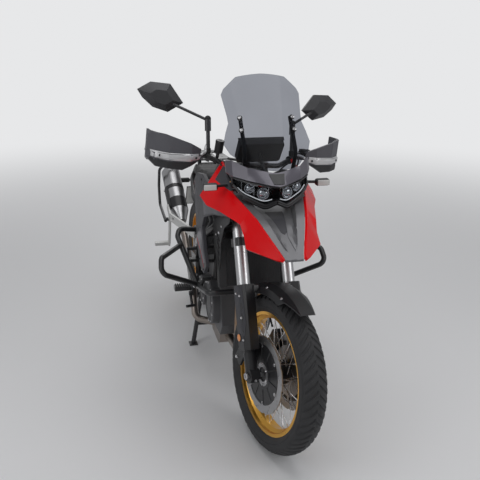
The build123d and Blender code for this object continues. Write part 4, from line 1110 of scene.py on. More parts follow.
class MouldedBodywork(Assembly):
    """Draws the moulded and cast pieces again with rounded edges, some with a painted region."""

    def _soften(self, item: Moulding) -> None:
        """Builds one piece.

        Args:
            item: what it is drawn from and how.
        """
        shape = Shape()
        own = shape.mesh
        own.from_mesh(self.nodes[item.node].data)
        bmesh.ops.transform(own, matrix=DRAWING.matrix(item.body.steered).inverted(), verts=own.verts)
        bmesh.ops.remove_doubles(own, verts=own.verts, dist=0.01)
        bmesh.ops.dissolve_limit(own, angle_limit=math.radians(1.5), verts=own.verts, edges=own.edges)
        limit = math.radians(item.angle)
        sharp = [edge for edge in own.edges if len(edge.link_faces) == 2 and edge.calc_face_angle(0.0) > limit]
        bmesh.ops.bevel(own, geom=sharp, offset=item.radius, segments=item.segments, profile=0.5,
                        affect="EDGES", material=-1, clamp_overlap=True)
        bmesh.ops.remove_doubles(own, verts=own.verts, dist=0.02)
        paint = next((entry for entry in PAINT if entry.node == item.node), None)
        if paint:
            paint.cut(own)
        piece = shape.place(f"{item.node}_moulding", item.finish, item.body, item.slot, replaces=(item.node,))
        if paint:
            piece.data.materials.append(paint.finish.material())
        tidy = piece.modifiers.new("even_shading", "WEIGHTED_NORMAL")
        tidy.keep_sharp = True

    def build(self) -> None:
        """Builds every piece."""
        for item in MOULDINGS:
            self._soften(item)


# ---------------------------------------------------------------- wheels
@dataclass(frozen=True)
class Wheel:
    """Names and sizes that tell one wheel from the other."""

    prefix: str
    body: Body
    axle_y: float
    axle_z: float
    tyre_radius: float
    half_width: float
    bead_radius: float
    rim_half: float
    blocks: int


FRONT = Wheel("front", Body.FRONT_WHEEL, 0.0, DRAWING.front_axle, 329.0, 55.0, 253.0, 38.0, 56)
REAR = Wheel("rear", Body.REAR_WHEEL, DRAWING.wheelbase, DRAWING.rear_axle, 321.0, 75.0, 229.0, 59.0, 46)


class Tyres(Assembly):
    """Both tyres, with slanting tread blocks and rings on the side walls."""

    groove_depth = 4.5
    slant = 1.35
    steps_a_block = 6

    def _section(self, wheel: Wheel) -> list[tuple[float, float]]:
        """The tyre's section from its crown to a bead, as (radius, distance from the middle).

        Args:
            wheel: the wheel.

        Returns:
            The section's corners.
        """
        height = wheel.tyre_radius - wheel.bead_radius
        widest = wheel.half_width - 0.6
        chord, drop = 0.93 * wheel.half_width, 0.42 * wheel.half_width
        arc = (chord ** 2 + drop ** 2) / (2 * drop)
        crown = []
        for step in range(9):
            across = widest * 0.90 * step / 8
            crown.append((wheel.tyre_radius - 0.3 - arc + math.sqrt(arc ** 2 - across ** 2), across))
        bead = wheel.bead_radius
        side = [(crown[-1][0] - 5.0, widest * 0.94), (bead + 0.56 * height, widest * 0.985),
                (bead + 0.44 * height, widest), (bead + 0.36 * height, widest * 0.992),
                (bead + 0.345 * height, widest * 0.96), (bead + 0.31 * height, widest * 0.955),
                (bead + 0.295 * height, widest * 0.975), (bead + 0.15 * height, widest * 0.90),
                (bead + 4.0, wheel.rim_half + 4.5), (bead - 1.0, wheel.rim_half - 1.5),
                (bead - 6.0, wheel.rim_half - 4.0)]
        return crown + side

    def _tread(self, shape: bmesh.types.BMesh, wheel: Wheel) -> None:
        """Slants the tread and pushes its grooves inwards.

        Args:
            shape: the spun tyre, about the z axis.
            wheel: the wheel.
        """
        step_angle = math.tau / (wheel.blocks * self.steps_a_block)
        widest = wheel.half_width * 0.90
        lowest = wheel.tyre_radius - 0.52 * wheel.half_width
        for vert in shape.verts:
            across = abs(vert.co.z) / widest
            radius = math.hypot(vert.co.x, vert.co.y)
            if radius < lowest:
                continue
            angle = math.atan2(vert.co.y, vert.co.x)
            step = (round(angle / step_angle) + (3 if vert.co.z < 0 else 0)) % self.steps_a_block
            if across > 0.10 and step in (0, 1):
                radius -= self.groove_depth * (1.0 if across < 0.97 else 0.5)
                angle += step_angle * (0.36 if step == 1 else -0.36)
            turned = angle + step_angle * self.steps_a_block * self.slant * min(across, 1.0)
            vert.co.x, vert.co.y = radius * math.cos(turned), radius * math.sin(turned)

    def build(self) -> None:
        """Builds both tyres."""
        for wheel in (FRONT, REAR):
            shape = Shape()
            half = self._section(wheel)
            section = [(radius, -across) for radius, across in reversed(half)] + half[1:]
            own = Shape()
            own.lathe(section, (0, 0, 0), (0, 0, 1), steps=wheel.blocks * self.steps_a_block)
            self._tread(own.mesh, wheel)
            bmesh.ops.recalc_face_normals(own.mesh, faces=own.mesh.faces)
            turn = Matrix.Rotation(math.pi / 2, 4, "Y")
            shape.add(own, Matrix.Translation((0, wheel.axle_y, wheel.axle_z)) @ turn)
            piece = shape.place(f"{wheel.prefix}_tyre_with_tread", TYRE, wheel.body, "tyre",
                                replaces=(f"{wheel.prefix}_tyre",))
            piece.data.set_sharp_from_angle(angle=math.radians(28))


class WheelFittings(Assembly):
    """Nipples, valves, bobbins, screws and carriers of the discs, and the sprocket's nuts."""

    spokes_a_side = 18
    front_disc_face = 61.2
    rear_disc_face = -67.6

    @staticmethod
    def _around(wheel: Wheel, x: float, radius: float, angle: float) -> Vector:
        """Point on a circle about a wheel's axle, the angle from the rear."""
        return Vector((x, wheel.axle_y + radius * math.cos(angle), wheel.axle_z + radius * math.sin(angle)))

    def _nipples(self, wheel: Wheel, rim_x: float, rim_radius: float, flange_x: float, flange_radius: float,
                 sweep: float) -> None:
        """Spoke nipples in the rim's well.

        Args:
            wheel: the wheel.
            rim_x: distance of the nipples from the middle.
            rim_radius: radius at which the spokes meet the rim.
            flange_x: distance of the hub's flange from the middle.
            flange_radius: radius at which the spokes leave the hub.
            sweep: angle that a spoke runs round, in degrees.
        """
        shape = Shape()
        for side in (-1, 1):
            for index in range(self.spokes_a_side):
                turn = 1 if index % 2 else -1
                start = math.tau * index / self.spokes_a_side + (math.radians(5) if side > 0 else 0)
                hub = self._around(wheel, side * flange_x, flange_radius, start)
                rim = self._around(wheel, side * (rim_x + turn * 2.6), rim_radius,
                                   start + turn * math.radians(sweep))
                inwards = (hub - rim).normalized()
                shape.bar(rim - inwards * 3, rim + inwards * 13, 3.6, 3.0, sides=8)
                shape.bar(hub - inwards * 2, hub + inwards * 3, 3.6, 3.0, sides=8)
        shape.place(f"{wheel.prefix}_nipples", SPOKE, wheel.body, "spoke_steel")

    def _valve(self, wheel: Wheel) -> None:
        """The tyre's valve with its cap."""
        valve = Shape()
        foot = self._around(wheel, 0, wheel.bead_radius - 24, 1.1)
        top = self._around(wheel, 6, wheel.bead_radius - 58, 1.1)
        out = (top - foot).normalized()
        valve.bar(foot, top, 4.2, 3.4, sides=14).bar(top, top + out * 10, 4.8, 4.2, sides=14)
        valve.place(f"{wheel.prefix}_valve", RUBBER, wheel.body, "rubber_black")

    def _disc_fittings(self, wheel: Wheel, x: float, out: float, ring: float, screws: float) -> None:
        """Bobbins between a disc's ring and its carrier, and the carrier's screws.

        Args:
            wheel: the wheel.
            x: place of the disc's outer face.
            out: 1 where it faces left, -1 where it faces right.
            ring: radius of the bobbins' circle.
            screws: radius of the screws' circle.
        """
        bobbins, fixings = Shape(), Shape()
        outwards = Vector((out, 0, 0))
        for index in range(6):
            angle = math.radians(60 * index + 15)
            place = self._around(wheel, x, ring, angle)
            bobbins.lathe([(0, 0), (7.4, 0), (7.4, 1.6), (6.4, 2.4), (3.8, 2.4), (3.8, 1.2), (0, 1.2)], place,
                          outwards, steps=20)
            fixings.screw(self._around(wheel, x, screws, angle), outwards, 6.2, 4.2)
        side = "left" if out > 0 else "right"
        bobbins.place(f"{wheel.prefix}_bobbins_{side}", FASTENER, wheel.body, "disc_steel")
        fixings.place(f"{wheel.prefix}_disc_screws_{side}", FASTENER, wheel.body, "spoke_steel")

    def _carriers(self) -> None:
        """Black arms, rims and thin rings of the front discs' carriers."""
        arms = Shape()
        for side in (-1, 1):
            centre, out = self._around(FRONT, side * self.front_disc_face, 0, 0), Vector((side, 0, 0))
            arms.lathe([(117, 0), (125, 0), (125, 1.6), (117, 1.6)], centre, out, 72, closed=True)
            arms.lathe([(48, 0), (62, 0), (62, 1.6), (48, 1.6)], centre, out, 48, closed=True)
            arms.lathe([(61, 0), (118, 0), (118, 0.6), (61, 0.6)], centre, out, 72, closed=True)
            for index in range(10):
                angle = math.tau * index / 10
                spoke = Vector((0, math.cos(angle), math.sin(angle)))
                arms.bar(centre + spoke * 60, centre + spoke * 119, 3.4, sides=8)
        arms.place("disc_carriers", SATIN_BLACK, Body.FRONT_WHEEL, "trim_black")

    def build(self) -> None:
        """Builds the fittings of both wheels."""
        self._nipples(FRONT, 7, 223.1, 38, 44, 44)
        self._nipples(REAR, 12, 198.8, 44, 60, 42)
        for wheel in (FRONT, REAR):
            self._valve(wheel)
        for side in (-1, 1):
            self._disc_fittings(FRONT, side * self.front_disc_face, side, 117, 42)
        self._disc_fittings(REAR, self.rear_disc_face, -1, 89, 42)
        nuts = Shape()
        for index in range(6):
            nuts.hexagon(self._around(REAR, 91.5, 46, math.tau * index / 6), (1, 0, 0), 8, 6)
        nuts.place("sprocket_nuts", FASTENER, Body.REAR_WHEEL, "chain_steel")
        self._carriers()


# ---------------------------------------------------------------- fork and brakes
class ForkFittings(Assembly):
    """Fork caps, seals and bands, bolts of the clamps and calipers, guard panels and reflectors, and hoses."""

    spacing = 106.0
    ahead = 35.0

    def _caps(self) -> None:
        """Caps with adjusters on the fork tubes, the stem's nut and the clamps' bolts."""
        caps, screws = Shape(), Shape()
        for side in (-1, 1):
            top = DRAWING.on_axis(1026, self.ahead, side * self.spacing)
            caps.lathe([(0, 0), (25, 0), (25, 3), (23, 5), (14, 5), (14, 8), (12.5, 9), (5, 9), (5, 6), (0, 6)],
                       top, DRAWING.up, steps=36)
        caps.lathe([(0, 0), (19, 0), (19, 5), (17, 7), (9, 7), (9, 3), (0, 3)], DRAWING.on_axis(1025),
                   DRAWING.up, steps=6)
        caps.place("fork_caps", GOLD, Body.STEERING, "rim_gold")
        for height, reach in ((1012, 11), (800, 14)):
            for side in (-1, 1):
                for lift in (-reach * 0.45, reach * 0.45):
                    place = DRAWING.on_axis(height + lift, 71.5, side * 88)
                    screws.screw(place, (0, -DRAWING.up.z, DRAWING.up.y), 6, 5)
        screws.place("clamp_bolts", FASTENER, Body.STEERING, "spoke_steel")

    def _seals(self) -> None:
        """Dust seals where the sliders leave the tubes, and bands round the tubes."""
        seals = Shape()
        for side in (-1, 1):
            foot = DRAWING.on_axis(600, self.ahead, side * self.spacing)
            seals.lathe([(23.4, -16), (29, -16), (31, -13), (31, -3), (28, 2), (23.4, 2)], foot, DRAWING.up,
                        steps=36, closed=True)
        seals.place("fork_dust_seals", RUBBER, Body.STEERING, "rubber_black")
        bands = Shape()
        for side in (-1, 1):
            for height in (640, 760, 838, 975):
                foot = DRAWING.on_axis(height, self.ahead, side * self.spacing)
                bands.lathe([(27.0, -3), (28.2, -2.4), (28.2, 2.4), (27.0, 3), (26.6, 0)], foot, DRAWING.up,
                            steps=36, closed=True)
        bands.place("fork_tube_bands", ALUMINIUM, Body.STEERING, "fork_aluminium")

    def _feet(self) -> None:
        """Axle nuts, pinch bolts, and bolts and pistons on the calipers."""
        bolts, pistons, lids = Shape(), Shape(), Shape()
        for side in (-1, 1):
            out = Vector((side, 0, 0))
            bolts.lathe([(0, 0), (16, 0), (16, 5), (14, 7), (9, 7), (9, 3), (0, 3)],
                        (side * 132.1, 0, FRONT.axle_z), out, steps=6)
            for x in (88, 106):
                bolts.screw((side * x, -30.5, 322), (0, -1, 0), 5.5, 4)
            turn = Matrix.Rotation(math.radians(26), 4, "X")
            centre = Matrix.Translation((0, 0, FRONT.axle_z)) @ turn
            for z in (44, 12, -14, -46):
                place = centre @ Vector((side * 84.2, 146, z))
                if z in (12, -14):
                    pistons.lathe([(0, 0), (15, 0), (15, 2.4), (13.5, 4), (0, 4)], place, out, 32)
                    lids.lathe([(0, 4.0), (8.5, 4.0), (8.5, 5.2), (5, 5.2), (5, 3), (0, 3)], place, out, 6)
                else:
                    bolts.screw(place, out, 8, 6)
            for z in (46, -48):
                bolts.screw(centre @ Vector((side * 110.3, 135, z)), out, 8, 5)
        bolts.place("caliper_and_axle_bolts", FASTENER, Body.STEERING, "spoke_steel", round_edges=0.4)
        pistons.place("caliper_piston_covers", CALIPER, Body.STEERING, "caliper_black")
        lids.place("caliper_plugs", FASTENER, Body.STEERING, "spoke_steel")

    def _guards(self) -> None:
        """Screws and reflectors on the fork guards, and screws on the mudguard."""
        skin = Skin(self.nodes, "front_mudguard", steered=True)
        screws, lenses, frames = Shape(), Shape(), Shape()
        for side in (-1, 1):
            inwards = Vector((-side, 0, 0))
            for height, ahead in ((440, 52), (520, 50), (600, 50), (440, 20), (610, 20)):
                place = DRAWING.on_axis(height, ahead + 12, side * 260)
                found = skin.meet(place, inwards)
                if found and abs(found[0].x) > 100:
                    screws.screw(found[0], found[1], 5.6, 3)
            place = DRAWING.on_axis(450, self.ahead - 4, side * 260)
            found = skin.meet(place, inwards)
            if found:
                frames.lathe([(0, 0), (17, 0), (17, 3), (15.6, 4.4), (14.6, 4.4), (14.6, 2), (0, 2)], found[0],
                             -inwards, 40)
                lenses.lathe([(0, 2), (14.5, 2), (14.5, 4.2), (11, 5.2), (0, 5.6)], found[0], -inwards, 40)
        for side in (-1, 1):
            for y in (-60, 60, 180):
                found = skin.meet((side * 56, y, 900), (0, 0, -1))
                if found:
                    screws.screw(found[0], found[1], 5, 2.4)
        screws.place("guard_screws", FASTENER, Body.STEERING, "spoke_steel")
        frames.place("fork_reflector_frames", TRIM, Body.STEERING, "trim_black")
        lenses.place("fork_reflectors", AMBER, Body.STEERING, "lamp_red")

    def _guard_panels(self) -> None:
        """Grey facing panels on the fork guards."""
        skin = Skin(self.nodes, "front_mudguard", steered=True)
        for side, name in SIDES:
            rows = [(432, 30), (432, 66), (500, 78), (636, 74), (640, 20), (560, 18)]
            outline = [DRAWING.on_axis(height, ahead, side * 300) for height, ahead in rows]
            panel = skin.panel(outline, (-side, 0, 0), thickness=1.2, pitch=18)
            panel.place(f"fork_guard_facing_{name}", GREY, Body.STEERING, "body_grey")

    def _hose(self, name: str, points: Sequence[Point]) -> None:
        """A stiff hose on the steering, along a smooth line.

        Args:
            name: its name.
            points: control points.
        """
        matrix = DRAWING.matrix(True)
        curve = smooth_line(name, [matrix @ Vector(point) for point in points], 0.0035, 8, 3)
        hose = bpy.data.objects.new(name, curve)
        bpy.context.scene.collection.objects.link(hose)
        curve.materials.append(RUBBER.material())
        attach(hose, Body.STEERING.value)

    def _hoses(self) -> None:
        """Clutch and brake hoses from the bar's controls down to the fork."""
        for side, name in ((1, "clutch"), (-1, "brake")):
            self._hose(f"{name}_hose", [(side * 236, 446, 1136), (side * 214, 400, 1146), (side * 190, 352, 1132),
                                        (side * 160, 326, 1088), (side * 128, 306, 1040), (side * 106, 300, 996)])
            self._hose(f"{name}_hose_inner", [(side * 214, 440, 1128), (side * 184, 410, 1122),
                                              (side * 132, 380, 1106), (side * 88, 356, 1074),
                                              (side * 66, 346, 1034)])

    def build(self) -> None:
        """Builds the fittings."""
        self._caps()
        self._hoses()
        self._seals()
        self._feet()
        self._guards()
        self._guard_panels()


# ---------------------------------------------------------------- headlight and nose
class Headlight(Assembly):
    """Hollow headlight housing with projectors, daylight strips and bezels behind the clear cover."""

    rows = ((0, (16, 1052), (-4, 1108)), (44, (28, 1030), (14, 1110)), (120, (72, 1064), (76, 1118)),
            (150, (116, 1098), (122, 1124)))

    def _housing(self) -> None:
        """The housing, open to the front."""
        shape = Shape()
        own = shape.mesh
        backs = (100, 110, 130, 146)
        loops = []
        ordered = [(-x, low, high, back) for (x, low, high), back in reversed(list(zip(self.rows, backs))[1:])]
        ordered += [(x, low, high, back) for (x, low, high), back in zip(self.rows, backs)]
        for x, low, high, back in ordered:
            section = [(x, low[0], low[1]), (x, back, low[1]), (x, back, high[1]), (x, high[0], high[1])]
            verts = [own.verts.new(corner) for corner in section]
            loops.append([own.edges.new(pair) for pair in zip(verts, verts[1:])])
        for first, second in zip(loops, loops[1:]):
            bmesh.ops.bridge_loops(own, edges=first + second)
        for ends in (loops[0], loops[-1]):
            own.faces.new([edge.verts[0] for edge in ends] + [ends[-1].verts[1]])
        bmesh.ops.recalc_face_normals(own, faces=own.faces)
        middle = Vector((0, 70, 1080))
        if sum(f.normal.dot(f.calc_center_median() - middle) for f in own.faces) < 0:
            bmesh.ops.reverse_faces(own, faces=own.faces)
        bmesh.ops.solidify(own, geom=own.faces[:], thickness=3.0)
        bmesh.ops.recalc_face_normals(own, faces=own.faces)
        shape.place("headlight_housing", TRIM, Body.FRAME, "trim_black", replaces=("headlight",))

    def _face(self, x: float, share: float) -> Vector:
        """Point of the housing's open front at this side distance and share of its height.

        Args:
            x: distance from the middle, signed.
            share: 0 at the lower edge, 1 at the upper edge.

        Returns:
            The point.
        """
        reach = abs(x)
        for (x_in, low_in, high_in), (x_out, low_out, high_out) in zip(self.rows, self.rows[1:]):
            if reach <= x_out:
                part = (reach - x_in) / (x_out - x_in)
                low = Vector(low_in).lerp(Vector(low_out), part)
                high = Vector(high_in).lerp(Vector(high_out), part)
                edge = low.lerp(high, share)
                return Vector((x, edge.x, edge.y))
        return Vector((x, self.rows[-1][1][0], self.rows[-1][1][1]))

    def _projectors(self) -> None:
        """Two projector lenses a side in bright bezels, with faceted surrounds behind in near-black painted shade."""
        lenses, bezels, bowls = Shape(), Shape(), Shape()
        for side in (-1, 1):
            for x, share, radius in ((52, 0.52, 19), (98, 0.56, 15)):
                face = self._face(side * x, share)
                out = Vector((side * 0.28, -1, 0.0)).normalized()
                seat = face - out * 22
                lenses.lathe([(0, 12), (radius * 0.5, 11), (radius * 0.82, 7), (radius, 1), (radius, -3), (0, -3)],
                             seat, out, 40)
                bezels.lathe([(radius + 0.3, -4), (radius + 0.3, 3), (radius + 2, 6), (radius + 4, 6),
                              (radius + 5, 2), (radius + 5, -4)], seat, out, 40, closed=True)
                bowls.lathe([(radius + 4, -2), (radius + 11, 4), (radius + 12, 4), (radius + 12, -10),
                             (radius + 4, -10)], seat, out, 8, closed=True)
        lenses.place("projector_lenses", MIRROR_GLASS, Body.FRAME, "lens_clear")
        bezels.place("projector_bezels", REFLECTOR, Body.FRAME, "disc_steel")
        # The surrounds are near black: painted shade inside the headlight.
        bowls.place("projector_surrounds", PAINTED_SHADE_BLACK, Body.FRAME, "trim_black")

    def _daylight_strips(self) -> None:
        """Lit strips along the lower edges, and dividing fins."""
        strips, fins = Shape(), Shape()
        for side in (-1, 1):
            line = [self._face(side * x, 0.13) + Vector((0, 9, 2)) for x in (16, 40, 66, 92, 116, 134)]
            strips.tube(line, 2.0, 10)
            line = [self._face(side * x, 0.93) + Vector((0, 10, -2)) for x in (20, 60, 104, 140)]
            fins.tube(line, 2.2, 8)
            for x in (28, 76, 118):
                low, high = self._face(side * x, 0.16), self._face(side * x, 0.9)
                fins.bar(low + Vector((0, 26, 0)), high + Vector((0, 26, 0)), 1.6, sides=6)
        strips.place("daylight_strips", LED, Body.FRAME, "lens_clear")
        fins.place("headlight_fins", REFLECTOR, Body.FRAME, "disc_steel")

    def _frame(self) -> None:
        """Black frame round the clear cover."""
        frame = Shape()
        for side in (-1, 1):
            lower = [self._face(side * x, 0.0) + Vector((0, -7, -1)) for x in (0, 22, 44, 84, 120, 149)]
            upper = [self._face(side * x, 1.0) + Vector((0, -6, 0)) for x in (0, 44, 84, 120, 149)]
            frame.tube(lower, 5.0, 10)
            frame.tube([point + Vector((0, 2, -8)) for point in lower[:-1]], 7.0, 10)
            frame.tube(upper, 3.6, 10)
        frame.place("headlight_frame", SATIN_BLACK, Body.FRAME, "trim_black")

    def build(self) -> None:
        """Builds the headlight."""
        self._housing()
        self._projectors()
        self._daylight_strips()
        self._frame()


class NoseAndWings(Assembly):
    """Plaque of the nose, recess and facets of the beak."""

    def _brow(self) -> None:
        """Blank dark plaque in the brow's middle."""
        skin = Skin(self.nodes, "nose_cowl")
        plaque = skin.panel([(-30, -300, 1150), (-20, -300, 1120), (20, -300, 1120), (30, -300, 1150)], (0, 1, 0),
                            thickness=1.8, pitch=8)
        plaque.place("nose_plaque", SATIN_BLACK, Body.FRAME, "trim_black")

    def _beak(self) -> None:
        """Dark recess of the beak between two raised facets."""
        skin = Skin(self.nodes, "beak", "wings")
        outline = [(-34, 60), (-26, -70), (0, -100), (26, -70), (34, 60)]
        recess = skin.panel([(x, y, CLEAR_ABOVE) for x, y in outline], (0, 0, -1), thickness=1.2, pitch=12)
        recess.place("beak_recess", GREY, Body.FRAME, "body_grey")
        for side, name in SIDES:
            outline = [(8, -118), (34, 40), (60, 40), (40, -120), (16, -190)]
            facet = skin.panel([(side * x, y, CLEAR_ABOVE) for x, y in outline], (0, 0, -1), thickness=2.6, pitch=12)
            facet.place(f"beak_facet_{name}", SILVER, Body.FRAME, "beak_silver", round_edges=0.8)

    def build(self) -> None:
        """Builds the pieces."""
        self._brow()
        self._beak()


# ---------------------------------------------------------------- body panels
class ShroudPanels(Assembly):
    """Facings, seams, ducts and screws on the shroud panels."""

    def _laid(self, skin: Skin, name: str, outline: Sequence[tuple[float, float]], side: int, finish: Finish,
              slot: str, thickness: float, pitch: float = 24.0) -> None:
        """Lays a panel drawn in the side view on a surface.

        Args:
            skin: the surface.
            name: name of the piece.
            outline: (y, z) of its corners.
            side: 1 for the left, -1 for the right.
            finish: its finish.
            slot: its material slot.
            thickness: how far it stands out.
            pitch: size of the grid that follows the surface.
        """
        corners = [(side * CLEAR_SIDE, y, z) for y, z in outline]
        panel = skin.panel(corners, (-side, 0, 0), thickness=thickness, pitch=pitch)
        panel.place(f"{name}_{'left' if side > 0 else 'right'}", finish, Body.FRAME, slot)

    def _ducts(self) -> None:
        """Black ducts beside the radiator, inside the shroud panels."""
        ducts, screws = Shape(), Shape()
        outline = [(128, 962), (300, 918), (452, 864), (497, 818), (452, 728), (404, 668), (352, 640), (330, 700),
                   (318, 790), (250, 880), (150, 930)]
        for side in (-1, 1):
            x = side * 153
            ducts.plate([(x, y, z) for y, z in outline], (side * 3, 0, 0), bevel=0.9)
            for y, z in ((360, 826), (300, 872), (420, 800), (372, 690)):
                screws.screw((side * 156, y, z), (side, 0, 0), 7.5 if y == 360 else 5, 3)
            for height in (708, 740, 772, 804):
                ducts.slab((side * 157.5, 372, height), (5, 66, 5), Matrix.Rotation(0.3, 3, "X"), bevel=1.2)
        ducts.place("radiator_ducts", TRIM, Body.FRAME, "trim_black")
        screws.place("duct_screws", FASTENER, Body.FRAME, "spoke_steel")

    def build(self) -> None:
        """Builds the panels."""
        skin = Skin(self.nodes, "side_panels")
        for side in (-1, 1):
            self._laid(skin, "shroud_facing", [(470, 958), (300, 972), (150, 972), (128, 966), (300, 932), (446, 884)],
                       side, PALE_GREY, "body_grey", 1.6)
            self._laid(skin, "shroud_lower_facing", [(630, 730), (560, 704), (470, 650), (430, 668), (470, 720),
                                                     (512, 800), (560, 790)], side, BROW, "body_grey", 1.2)
            self._laid(skin, "shroud_seam", [(500, 1040), (520, 960), (600, 850), (700, 790), (702, 793),
                                             (603, 853), (523, 962), (503, 1040)], side, SATIN_BLACK,
                       "trim_black", 0.5)
        screws = Shape()
        for side in (-1, 1):
            for y, z in ((200, 984), (330, 1010), (500, 1030), (780, 930), (560, 640), (470, 620), (700, 740)):
                found = skin.meet((side * CLEAR_SIDE, y, z), (-side, 0, 0))
                if found:
                    screws.screw(found[0], found[1], 5.5, 2.6)
        screws.place("shroud_screws", DARK_FASTENER, Body.FRAME, "trim_black")
        self._ducts()


class TankFittings(Assembly):
    """Filler cap, knee pads and the black cover in the middle of the tank."""

    def build(self) -> None:
        """Builds the fittings."""
        skin = Skin(self.nodes, "fuel_tank")
        outline = [(-60, 500), (-66, 640), (-58, 780), (-44, 846), (44, 846), (58, 780), (66, 640), (60, 500)]
        cover = skin.panel([(x, y, CLEAR_ABOVE) for x, y in outline], (0, 0, -1), thickness=2.2, pitch=18)
        cover.place("tank_cover", TRIM, Body.FRAME, "trim_black")
        for side, name in SIDES:
            outline = [(690, 1000), (800, 956), (836, 880), (790, 850), (690, 880)]
            pad = skin.panel([(side * 400, y, z) for y, z in outline], (-side, 0, 0), thickness=3.0, pitch=14)
            pad.place(f"knee_pad_{name}", RUBBER, Body.FRAME, "rubber_black")
        cap, lock, screws = Shape(), Shape(), Shape()
        centre = Vector((0, 570, 1074))
        cap.lathe([(0, 0), (44, -4), (44, 1), (42, 3), (34, 3.4), (33, 1.6), (20, 2.0), (19, 4.4), (0, 4.8)], centre,
                  (0, 0, 1), steps=56)
        lock.slab(centre + Vector((0, 10, 6)), (22, 26, 4), bevel=1.6)
        lock.lathe([(0, 0), (7, 0), (7, 3), (6, 4), (2.5, 4), (2.5, 2), (0, 2)], centre + Vector((0, 8, 6)),
                   (0, 0, 1), steps=24)
        for index in range(6):
            angle = math.tau * (index + 0.5) / 6
            screws.screw(centre + Vector((38.5 * math.cos(angle), 38.5 * math.sin(angle), 2.6)), (0, 0, 1), 3.4, 2)
        cap.place("filler_cap", BLACK_STEEL, Body.FRAME, "black_steel")
        lock.place("filler_lock", FASTENER, Body.FRAME, "spoke_steel")
        screws.place("filler_screws", FASTENER, Body.FRAME, "spoke_steel")


